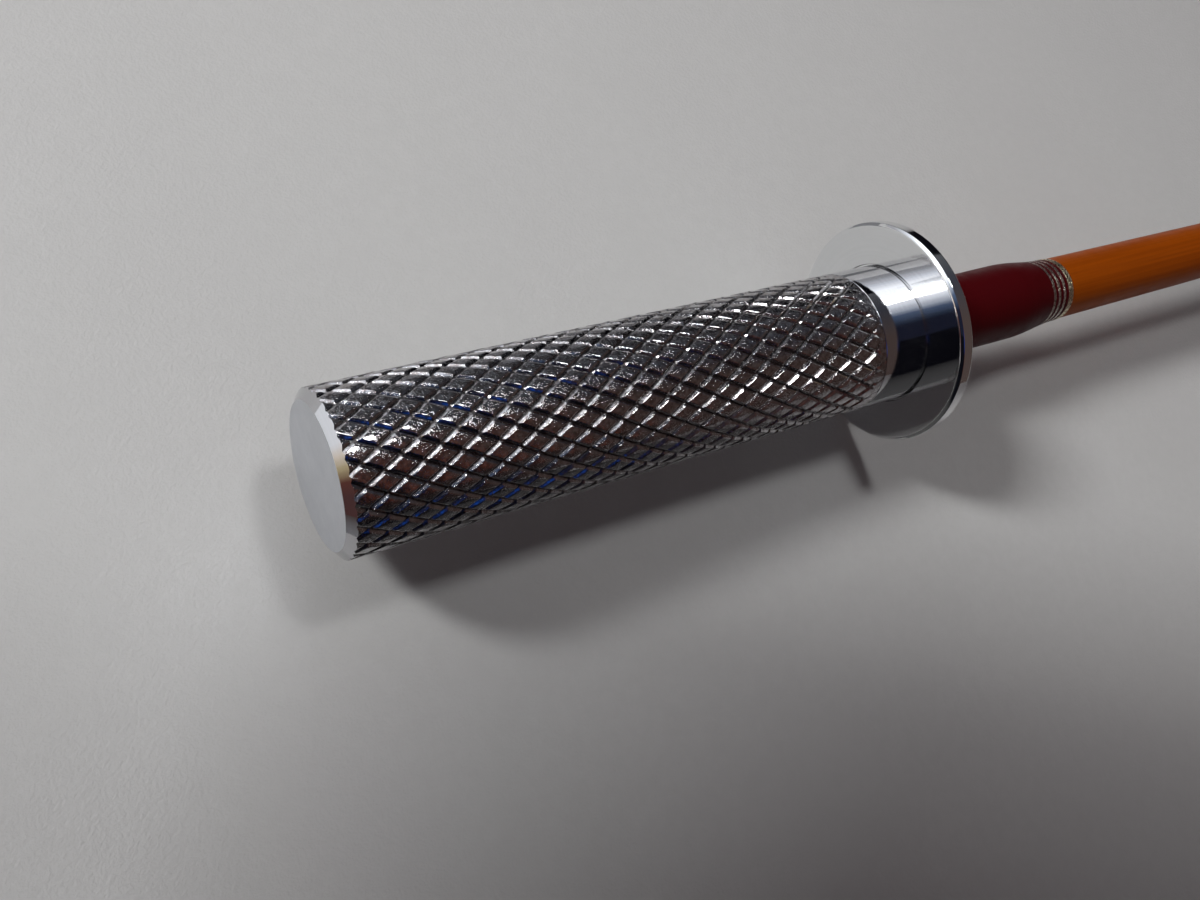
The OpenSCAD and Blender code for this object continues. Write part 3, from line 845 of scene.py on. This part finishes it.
class Finish:
    """A material under construction: its tree, its shader and its Object coordinates."""

    def __init__(self, name):
        self.material = bpy.data.materials.new(name)
        self.material.use_nodes = True
        self.tree = self.material.node_tree
        self.shader = self.tree.nodes["Principled BSDF"]
        self.place = add_node(self.tree, "ShaderNodeTexCoord").outputs["Object"]

    def effect(self, name, output, **values):
        """An output of one of the shared effects, with its own values."""
        group = bpy.data.node_groups.get(name) or EFFECTS[name]()
        values["Vector"] = self.place
        return add_node(self.tree, "ShaderNodeGroup", values, node_tree=group).outputs[output]

    def patches(self, size, low=0.0, high=1.0):
        """Soft patches of a size, between two values."""
        return self.effect("soft_patches", "Value", Size=size, Low=low, High=high)

    def rings(self, spacing):
        """Fine lathe rings."""
        return self.effect("lathe_marks", "Height", Spacing=spacing)

    def remap(self, value, *limits):
        """A value taken smoothly from one range to another, or to the range from 0 to 1."""
        return remapped(self.tree, value, *limits)

    def times(self, first, second):
        """The product of two values."""
        return maths(self.tree, "MULTIPLY", first, second)

    def mix(self, factor, first, second):
        """A colour between two."""
        return mixed(self.tree, factor, first, second)

    def bump(self, height, depth, **below):
        """The normal from a height, in metres, with the Normal of another bump under it."""
        values = {"Height": height, "Distance": depth, "Strength": 1.0, **below}
        return add_node(self.tree, "ShaderNodeBump", values).outputs["Normal"]

    def finished(self, **values):
        """The material, with inputs of its shader filled or linked."""
        for label, value in values.items():
            fill(self.tree, self.shader.inputs[label.replace("_", " ")], value)
        return self.material


def chrome_knurl(finishes):
    """Worn knurl chrome, dulled in small patches, with dirt and painted shade deep in the grooves."""
    made = Finish("chrome_knurl")
    groove = add_node(made.tree, "ShaderNodeAttribute", attribute_name="groove").outputs["Fac"]
    # Dirt and painted shade: the base colour darkens and roughens towards the bottom of the grooves.
    dirt_and_shade = made.times(made.remap(groove, 0.5, 1.0), made.patches(size=0.0008, low=0.6))
    dullness = made.patches(size=0.0004, high=0.75)
    worn = made.mix(dullness, opaque(finishes.knurl), opaque(finishes.dulled))
    haze = made.patches(size=0.0015, low=finishes.knurl_gloss, high=2 * finishes.knurl_gloss)
    dents = made.bump(made.patches(size=0.0004), depth=0.000005)
    specks = made.remap(made.patches(size=0.00016), 0.55, 1.0)
    return made.finished(
        Base_Color=made.mix(dirt_and_shade, worn, opaque(finishes.grime_and_shade)),
        Metallic=1.0,
        Roughness=maths(made.tree, "ADD", haze, made.times(dirt_and_shade, 0.3)),
        Normal=made.bump(specks, depth=0.0000065, Normal=dents),
    )


def chrome_turned(name, tint, gloss):
    """Polished chrome with faint lathe rings and a little haze."""
    made = Finish(name)
    return made.finished(
        Base_Color=made.mix(made.rings(spacing=0.0003), opaque(tint), opaque(tint, 0.93)),
        Metallic=1.0,
        Roughness=made.patches(size=0.003, low=gloss, high=2 * gloss),
        Normal=made.bump(made.rings(spacing=0.00008), depth=0.0000006),
    )


def butt_satin(tint):
    """The faced butt end: pale satin metal with fine rings and soft patches."""
    made = Finish("butt_satin")
    return made.finished(
        Base_Color=made.mix(made.patches(size=0.0025), opaque(tint), opaque(tint, 0.95)),
        Metallic=1.0,
        Roughness=made.patches(size=0.0012, low=0.30, high=0.38),
        Normal=made.bump(made.rings(spacing=0.00006), depth=0.0000012),
    )


def bare_steel(tint):
    """Turned steel of the stud."""
    made = Finish("bare_steel")
    rings = made.rings(spacing=0.00006)
    return made.finished(
        Base_Color=made.mix(rings, opaque(tint), opaque(tint, 0.8)),
        Metallic=1.0,
        Roughness=made.patches(size=0.001, low=0.22, high=0.36),
        Normal=made.bump(rings, depth=0.000002),
    )


def dull_brass(tint):
    """Drawn brass of the ferrule, dulled in patches."""
    made = Finish("dull_brass")
    drawn = made.effect("long_fibres", "Value", Width=0.00008, Stretch=40.0)
    return made.finished(
        Base_Color=made.mix(made.patches(size=0.002), opaque(tint), opaque(tint, 0.7)),
        Metallic=1.0,
        Roughness=made.patches(size=0.001, low=0.24, high=0.42),
        Normal=made.bump(drawn, depth=0.000002),
    )


def ring_rubber(tint):
    """Matt black rubber with a fine grain."""
    made = Finish("ring_rubber")
    return made.finished(
        Base_Color=made.mix(made.patches(size=0.0006), opaque(tint), opaque(tint, 2.0)),
        Roughness=made.patches(size=0.0004, low=0.48, high=0.62),
        Normal=made.bump(made.patches(size=0.00008), depth=0.000004),
    )


def amber_lacquer(finishes):
    """The lacquered rod: amber with long darker fibres under a clear glossy coat."""
    made = Finish("amber_lacquer")
    fibres = made.effect("long_fibres", "Value", Width=0.0003, Stretch=70.0)
    streaks = made.mix(made.times(fibres, 0.55), opaque(finishes.amber), opaque(finishes.amber_streak))
    veil = made.patches(size=0.006, high=0.35)
    return made.finished(
        Base_Color=made.mix(veil, streaks, opaque(finishes.amber, 0.82)),
        Roughness=made.patches(size=0.002, low=0.34, high=0.46),
        Specular_IOR_Level=0.04,
        Coat_Weight=0.03,
        Coat_Roughness=0.12,
        Normal=made.bump(fibres, depth=0.0000015),
    )


def maroon_lacquer(finishes, thread):
    """Maroon thread, turn beside turn, drowned in clear lacquer."""
    made = Finish("maroon_lacquer")
    lay = made.effect("thread_lay", "Height", Thread=thread)
    tone = made.effect("thread_lay", "Tone", Thread=thread)
    turns = made.mix(made.remap(lay, 0.2, 0.9), opaque(finishes.maroon_dark), opaque(finishes.maroon))
    return made.finished(
        Base_Color=made.mix(made.times(tone, 0.45), turns, opaque(finishes.maroon, 0.72)),
        Roughness=made.patches(size=0.001, low=0.32, high=0.44),
        Specular_IOR_Level=0.035,
        Coat_Weight=0.03,
        Coat_Roughness=0.14,
        Normal=made.bump(lay, depth=0.000003),
    )


def metal_thread(name, tint, thread):
    """Metal-wrapped thread: bright twisted strands with dark gaps, tarnished in patches."""
    made = Finish(name)
    lay = made.effect("thread_lay", "Height", Thread=thread)
    twist = made.effect("thread_lay", "Twist", Thread=thread, Twists=44.0)
    strands = made.times(lay, made.remap(twist, 0.1, 0.7, 0.3, 1.0))
    crests = made.mix(made.remap(strands, 0.25, 0.85), opaque(tint, 0.18), opaque(tint))
    tarnish = made.patches(size=0.0004, high=0.6)
    return made.finished(
        Base_Color=made.mix(tarnish, crests, opaque(tint, 0.35)),
        Metallic=1.0,
        Roughness=made.patches(size=0.0004, low=0.22, high=0.36),
        Coat_Weight=0.1,
        Coat_Roughness=0.12,
        Normal=made.bump(strands, depth=0.00004),
    )


def paper_floor(tint):
    """Pale paper with faint mottling and a fine tooth."""
    made = Finish("paper_floor")
    mottled = made.mix(made.patches(size=0.0012), opaque(tint), opaque(tint, 0.97))
    cloud = made.patches(size=0.02, high=0.5)
    return made.finished(
        Base_Color=made.mix(cloud, mottled, opaque(tint, 0.95)),
        Roughness=0.9,
        Normal=made.bump(made.patches(size=0.0004), depth=0.00002),
    )


def card_finish(name, tints, axis="X", start=0.0, end=1.0, strength=1.0):
    """A card that glows and passes through its tints in even steps along an axis, from start to end."""
    made = Finish(name)
    split = add_node(made.tree, "ShaderNodeSeparateXYZ", {0: made.place}).outputs
    limits = {"Value": split[axis], "From Min": start, "From Max": end}
    along = add_node(made.tree, "ShaderNodeMapRange", limits).outputs["Result"]
    ramp = add_node(made.tree, "ShaderNodeValToRGB", {0: along})
    stops = ramp.color_ramp.elements
    for number in range(1, len(tints) - 1):
        stops.new(number / (len(tints) - 1))
    for stop, tint in zip(stops, tints):
        stop.color = opaque(tint)
    return made.finished(
        Base_Color=opaque((0.0, 0.0, 0.0)),
        Roughness=1.0,
        Specular_IOR_Level=0.0,
        Emission_Color=ramp.outputs["Color"],
        Emission_Strength=strength,
    )


# Operators


class ROD_GRIP_OT_knurled_grip(bpy.types.Operator):
    """Build the knurled grip with its chamfered butt, plain neck and bore"""

    bl_idname = "rod_grip.knurled_grip"
    bl_label = "Knurled Grip"

    def execute(self, context):
        grip, finishes = context.scene.rod_grip.grip, context.scene.rod_grip.finishes
        points, groove, quads, triangles, numbers = grip_surface(grip)
        neck = chrome_turned("chrome_neck", finishes.neck, finishes.chrome_gloss)
        materials = [chrome_knurl(finishes), neck, butt_satin(finishes.butt)]
        piece = make_piece(
            "knurled_grip", points, quads, triangles, materials, numbers, sharp=math.radians(32)
        )
        shares = piece.data.attributes.new("groove", "FLOAT", "POINT")
        shares.data.foreach_set("value", groove.astype(np.float32))
        fit_piece(piece, "grip", "grip_barrel")
        return {"FINISHED"}


class ROD_GRIP_OT_screw_joint(bpy.types.Operator):
    """Build the threaded stud and its rubber ring"""

    bl_idname = "rod_grip.screw_joint"
    bl_label = "Screw Joint"

    def execute(self, context):
        settings = context.scene.rod_grip
        stud, finishes = settings.stud, settings.finishes
        points, quads, triangles = stud_surface(stud, settings.rod.stop_thickness)
        steel = [bare_steel(finishes.steel)]
        piece = make_piece("steel_stud", points, quads, triangles, steel, sharp=math.radians(40))
        fit_piece(piece, "rod", "threaded_stud")
        rows, columns = 32, 96
        around = even_turns(rows)
        along = stud.ring_x + stud.ring_cord * np.sin(around)
        radius = stud.ring_radius + stud.ring_cord * np.cos(around)
        points = turned(np.stack([along, radius], axis=1), even_turns(columns)).reshape(-1, 3)
        rubber = [ring_rubber(finishes.rubber)]
        ring = make_piece("rubber_ring", points, closed_quads(rows, columns), [], rubber)
        fit_piece(ring, "seal", "seal_ring")
        return {"FINISHED"}


class ROD_GRIP_OT_hand_stop(bpy.types.Operator):
    """Build the polished hand stop, a bevelled disc with a recess for the neck"""

    bl_idname = "rod_grip.hand_stop"
    bl_label = "Hand Stop"

    def execute(self, context):
        settings = context.scene.rod_grip
        rod = settings.rod
        corners = [
            (settings.grip.seat_depth, rod.stop_hole_radius),
            (settings.grip.seat_depth, rod.stop_recess_radius),
            (0.0, rod.stop_recess_radius),
            (0.0, rod.stop_radius - rod.stop_front_bevel),
            (rod.stop_front_bevel, rod.stop_radius),
            (rod.stop_thickness - rod.stop_rear_bevel, rod.stop_radius),
            (rod.stop_thickness, rod.stop_radius - rod.stop_rear_bevel),
            (rod.stop_thickness, rod.stop_hole_radius),
        ]
        eases = [0.00002, 0.00002, 0.00003, 0.00008, 0.00004, 0.00006, 0.00006, 0.00003]
        finishes = settings.finishes
        chrome = chrome_turned("chrome_stop", finishes.chrome, finishes.chrome_gloss)
        piece = turned_piece("hand_stop", corners, eases, columns=384, material=chrome)
        fit_piece(piece, "rod", "flange_disc")
        return {"FINISHED"}


class ROD_GRIP_OT_rod(bpy.types.Operator):
    """Build the hollow lacquered rod and the ferrule that holds it"""

    bl_idname = "rod_grip.rod"
    bl_label = "Rod and Ferrule"

    def execute(self, context):
        settings = context.scene.rod_grip
        rod, stud, finishes = settings.rod, settings.stud, settings.finishes
        film = rod.ferrule_bore - rod.tenon_radius
        tenon_x = stud.tail_end_x + film
        edge_x = rod.mouth_x - rod.mouth_edge
        socket_x = rod.mouth_x - rod.socket_depth
        wall_rows, columns = 24, 128
        along = np.linspace(rod.ferrule_end_x, edge_x, wall_rows)[1:-1]
        wall = [(x, rod_radius_at(rod, x)) for x in along]
        corners = [
            (tenon_x, rod.tenon_radius),
            (rod.ferrule_end_x, rod.tenon_radius),
            (rod.ferrule_end_x, rod.rod_radius),
            *wall,
            (edge_x, rod_radius_at(rod, edge_x)),
            (rod.mouth_x, rod.mouth_radius - rod.mouth_edge),
            (rod.mouth_x, rod.socket_radius),
            (socket_x, rod.socket_radius),
            (socket_x, rod.rod_bore),
            (tenon_x, rod.rod_bore),
        ]
        ease = 0.00004
        piece = turned_piece("amber_rod", corners, ease, columns, amber_lacquer(finishes))
        fit_piece(piece, "rod", "rod_blank")
        lip_x = rod.ferrule_end_x - rod.ferrule_lip
        corners = [
            (rod.stop_thickness, rod.ferrule_radius),
            (lip_x, rod.ferrule_radius),
            (rod.ferrule_end_x, rod.rod_radius),
            (rod.ferrule_end_x, rod.ferrule_bore),
            (stud.tail_end_x, rod.ferrule_bore),
            (stud.tail_end_x, rod.ferrule_tail_bore),
            (rod.stop_thickness, rod.ferrule_tail_bore),
        ]
        ease = 0.00003
        piece = turned_piece("brass_ferrule", corners, ease, columns, dull_brass(finishes.brass))
        fit_piece(piece, "rod", "ferrule")
        return {"FINISHED"}


class ROD_GRIP_OT_whippings(bpy.types.Operator):
    """Wind the maroon whippings and the silver and pale gold bands at the butt and at the mouth"""

    bl_idname = "rod_grip.whippings"
    bl_label = "Whippings"

    def execute(self, context):
        settings = context.scene.rod_grip
        rod, finishes = settings.rod, settings.finishes
        maroon = maroon_lacquer(finishes, rod.maroon_thread)
        silver = metal_thread("wound_silver", finishes.silver, rod.metal_thread)
        gold = metal_thread("wound_gold", finishes.gold, rod.metal_thread)
        # Finish, slot, width of a turn and how far the surface sinks between turns
        kinds = {
            "whipping": (maroon, "maroon_thread", rod.maroon_thread, 0.000012),
            "spacer": (maroon, "maroon_thread", rod.maroon_thread, 0.00002),
            "trim": (silver, "silver_thread", rod.metal_thread, 0.00005),
            "end": (gold, "pale_gold_thread", rod.metal_thread, 0.00005),
        }
        ends = {
            "butt": (butt_whip_radius_at, core_radius_at),
            "mouth": (mouth_whip_radius_at, rod_radius_at),
        }
        windings = [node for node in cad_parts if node.split("_")[0] in ends]
        for node in sorted(windings):
            end, kind = node.split("_")[:2]
            material, slot, thread, ridge = kinds[kind]
            outer_at, inner_at = (partial(radius_at, rod) for radius_at in ends[end])
            low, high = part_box(node)
            rows_per_turn, columns = (4, 96) if kind == "whipping" else (10, 160)
            points, quads = wound_surface(
                low.x, high.x, outer_at, inner_at, thread, ridge, rows_per_turn, columns
            )
            piece = make_piece(f"wound_{node}", points, quads, [], [material], sharp=math.radians(60))
            fit_piece(piece, "rod", node)
        return {"FINISHED"}


class ROD_GRIP_OT_stage(bpy.types.Operator):
    """Set the paper floor, the lamps, the cards that the chrome mirrors, and the camera"""

    bl_idname = "rod_grip.stage"
    bl_label = "Stage"

    def execute(self, context):
        settings = context.scene.rod_grip
        self.floor(settings)
        self.cards(settings.stage)
        self.lamps(settings.stage)
        self.surroundings(context.scene, settings.stage)
        self.camera(context.scene, settings.stage)
        context.scene.view_settings.view_transform = "Standard"
        return {"FINISHED"}

    def flat(self, name, corners, material):
        """A stage sheet from its four corners."""
        sheet = make_piece(name, np.array(corners), [[0, 1, 2, 3]], [], [material])
        return sheet

    def floor(self, settings):
        """The paper, which the hand stop's rim rests on."""
        half, low = settings.stage.floor_size / 2, CAD_BOX[0].z
        corners = [(-half, -half, low), (half, -half, low), (half, half, low), (-half, half, low)]
        self.flat("paper", corners, paper_floor(settings.finishes.paper))

    def cards(self, stage):
        """Dim cards around the stage: a box of painted reflections, seen only in the chrome."""
        left, over_edge, middle, right = -0.70, -0.06, 0.0, 0.70
        near, far, turn = -0.34, 0.55, 0.12
        low, high = CAD_BOX[0].z, 0.42
        low_lift = 0.0005
        brown_left, brown_right, brown_near, brown_far = 0.02, 0.20, -0.33, -0.03
        brown_low, brown_high = 0.12, 0.41
        glow_left, glow_right, glow_near, glow_far = -0.26, -0.09, -0.335, -0.24
        glow_low, glow_full, glow_high = 0.24, 0.34, 0.415
        end_x, end_inner_x, end_near, end_far, end_high = -0.085, -0.067, -0.03, 0.04, 0.03
        shade_near, shade_far = -0.10, -0.011
        shade_edge = [(-0.070, -0.018), (0.0, shade_far), (0.06, near), (left, near)]
        back_edge = [(-0.040, 0.03), (0.0, 0.03), (0.33, far), (0.05, far)]
        half_shade = [0.5 * part for part in stage.shade]
        over_tints = [stage.navy, stage.blue, stage.haze, stage.window, stage.window, stage.window]
        end_tints = [stage.maroon, stage.brown, stage.gold, stage.cream, stage.window]

        def upright_x(x, start, end, top=high):
            return [(x, start, low), (x, end, low), (x, end, top), (x, start, top)]

        def upright_y(y, start, end, bottom=low):
            return [(start, y, bottom), (end, y, bottom), (end, y, high), (start, y, high)]

        def level(height, x_start, x_end, y_start, y_end):
            edge = [(x_start, y_start), (x_end, y_start), (x_end, y_end), (x_start, y_end)]
            return [(x, y, height) for x, y in edge]

        def over_paper(edge):
            return [(x, y, low + low_lift) for x, y in edge]

        # Each card glows and is seen only in reflections, so each is a painted reflection.
        # Corners, then the tints, the axis that they follow, where they start and end, and the strength
        cards = {
            "front": (upright_y(near, left, right), ([stage.black, stage.dusk], "X", -0.05, 0.30)),
            # Painted reflection of the shaded paper in front of the grip, on a sheet just over the
            # paper.
            "front_low": (
                over_paper(shade_edge),
                ([stage.black, half_shade, stage.shade], "Y", shade_near, shade_far),
            ),
            "front_grip": (
                upright_y(brown_near, brown_left, brown_right, brown_low),
                ([stage.black, stage.brown, stage.dusk], "X", brown_left, brown_right),
            ),
            "front_glow": (
                upright_y(glow_near, glow_left, glow_right, glow_low),
                ([stage.black, stage.glow], "Z", glow_low, glow_full),
            ),
            "over_glow": (
                level(glow_high, glow_left, glow_right, glow_near, glow_far),
                ([stage.glow, stage.navy], "Y", glow_near, glow_far),
            ),
            # Painted reflection of the paper behind the grip, darker than it is lit.
            "back_low": (over_paper(back_edge), ([stage.grey, stage.grey],)),
            "end_low": (upright_x(end_x, end_near, end_far, end_high), (end_tints, "Y", -0.012, 0.010)),
            # Painted reflection of darker, shaded paper beside the butt.
            "end_floor": (
                level(low + low_lift, end_x, end_inner_x, end_near, 0.0),
                ([stage.dusk, stage.grey], "X", end_x, end_inner_x),
            ),
            # Painted highlight: the window cards glow far wider than the window lamp.
            "over_butt": (
                level(high, left, over_edge, near, far),
                (over_tints, "Y", -0.10, 0.50, stage.window_strength),
            ),
            "over_rod": (
                level(high, over_edge, right, near, far),
                ([stage.dusk, stage.evening, stage.slate], "Y", -0.20, 0.50),
            ),
            "over_grip": (
                level(brown_high, brown_left, brown_right, brown_near, brown_far),
                ([stage.brown, stage.dusk], "X", brown_left, brown_right),
            ),
            "back_left": (
                upright_y(far, left, middle),
                ([stage.grey, stage.haze, stage.window], "Z", 0.05, 0.40, stage.window_strength),
            ),
            "back_right": (upright_y(far, middle, right), ([stage.slate, stage.black], "X", 0.10, 0.55)),
            "end_right": (upright_x(right, near, far), ([stage.dusk, stage.black], "Y", -0.05, 0.25)),
            "end_near": (upright_x(left, near, turn), ([stage.black, stage.maroon], "Y", -0.25, 0.0)),
            "end_far": (upright_x(left, turn, far), ([stage.pale, stage.window], "Y", turn, 0.40)),
        }
        for name, (corners, glow) in cards.items():
            card = self.flat(f"card_{name}", corners, card_finish(f"card_{name}", *glow))
            card.visible_camera = False
            card.visible_diffuse = False
            card.visible_shadow = False

    def lamp(self, name, place, target, size, power):
        """A soft rectangular lamp that faces a target."""
        data = bpy.data.lights.new(name, "AREA")
        data.shape = "RECTANGLE"
        data.size, data.size_y = size
        data.energy = power
        made = bpy.data.objects.new(name, data)
        made.location = place
        made.rotation_mode = "QUATERNION"
        made.rotation_quaternion = (Vector(target) - Vector(place)).to_track_quat("-Z", "Y")
        made.visible_camera = False
        bpy.context.scene.collection.objects.link(made)

    def lamps(self, stage):
        """A small lamp over the hand stop and a window-like lamp behind the butt."""
        self.lamp(
            "top_lamp",
            place=(0.016, 0.065, 0.360),
            target=(0.016, 0.0, 0.0),
            size=(0.041, 0.052),
            power=stage.top_power,
        )
        self.lamp(
            "window_lamp",
            place=(-0.419, 0.236, 0.356),
            target=(0.0, 0.0, 0.0),
            size=(0.075, 0.146),
            power=stage.window_power,
        )

    def surroundings(self, scene, stage):
        """Pale surroundings, which light the paper and the pieces with a dim even fill."""
        world = bpy.data.worlds.new("surroundings")
        world.use_nodes = True
        tree = world.node_tree
        rays = add_node(tree, "ShaderNodeLightPath").outputs
        seen = maths(tree, "MAXIMUM", rays["Is Camera Ray"], rays["Is Glossy Ray"])
        seen = maths(tree, "MAXIMUM", seen, rays["Is Transmission Ray"])
        background = tree.nodes["Background"].inputs
        fill(tree, background["Color"], mixed(tree, seen, opaque(stage.fill), opaque(stage.sky)))
        fill(tree, background["Strength"], 1.0)
        scene.world = world

    def camera_card(self, stage, forward, right, up):
        """A black card just behind the camera, which keeps the lamps off the near side of the paper."""
        back, left_reach, right_reach, down_reach, up_reach = 0.003, 0.063, 0.109, 0.013, 0.050
        middle = Vector(stage.camera_place) - back * forward
        corners = [
            middle + across * right + along * up
            for across, along in (
                (-left_reach, -down_reach),
                (right_reach, -down_reach),
                (right_reach, up_reach),
                (-left_reach, up_reach),
            )
        ]
        card = self.flat("card_camera", corners, card_finish("card_camera", [stage.black, stage.black]))
        card.visible_camera = False
        card.visible_glossy = False

    def camera(self, scene, stage):
        """The camera, from its place, heading, pitch and roll."""
        level = math.cos(stage.pitch)
        forward = Vector(
            (math.sin(stage.heading) * level, math.cos(stage.heading) * level, math.sin(stage.pitch))
        )
        side = forward.cross(Vector((0, 0, 1))).normalized()
        right = side * math.cos(stage.roll) + side.cross(forward) * math.sin(stage.roll)
        up = right.cross(forward)
        self.camera_card(stage, forward, right, up)
        data = bpy.data.cameras.new("camera")
        data.sensor_width = 36.0
        data.lens = stage.lens
        data.clip_start = 0.002
        made = bpy.data.objects.new("camera", data)
        turn = Matrix((right, up, -forward)).transposed().to_4x4()
        made.matrix_world = Matrix.Translation(Vector(stage.camera_place)) @ turn
        scene.collection.objects.link(made)
        scene.camera = made


class ROD_GRIP_PT_pieces(bpy.types.Panel):
    """The rod grip's pieces and settings"""

    bl_idname = "ROD_GRIP_PT_pieces"
    bl_label = "Rod Grip"
    bl_space_type = "VIEW_3D"
    bl_region_type = "UI"
    bl_category = "Rod Grip"

    def draw(self, context):
        settings = context.scene.rod_grip
        for operator in OPERATORS:
            self.layout.operator(operator.bl_idname)
        for group in (settings.grip, settings.stud, settings.rod, settings.finishes, settings.stage):
            box = self.layout.box()
            for name in group.bl_rna.properties.keys():
                if name not in ("rna_type", "name"):
                    box.prop(group, name)


SETTINGS = (GripSizes, StudSizes, RodSizes, Finishes, StageSettings, RodGripSettings)
OPERATORS = (
    ROD_GRIP_OT_knurled_grip,
    ROD_GRIP_OT_screw_joint,
    ROD_GRIP_OT_hand_stop,
    ROD_GRIP_OT_rod,
    ROD_GRIP_OT_whippings,
    ROD_GRIP_OT_stage,
)


def register():
    """Registers the classes and hangs the settings on the scene."""
    for kind in (*SETTINGS, *OPERATORS, ROD_GRIP_PT_pieces):
        bpy.utils.register_class(kind)
    bpy.types.Scene.rod_grip = PointerProperty(type=RodGripSettings)


def unregister():
    """Takes the settings and the classes away again."""
    del bpy.types.Scene.rod_grip
    for kind in reversed((*SETTINGS, *OPERATORS, ROD_GRIP_PT_pieces)):
        bpy.utils.unregister_class(kind)


def main():
    """Builds all pieces and the stage."""
    register()
    bpy.ops.rod_grip.knurled_grip()
    bpy.ops.rod_grip.screw_joint()
    bpy.ops.rod_grip.hand_stop()
    bpy.ops.rod_grip.rod()
    bpy.ops.rod_grip.whippings()
    bpy.ops.rod_grip.stage()


if __name__ == "__main__":
    main()
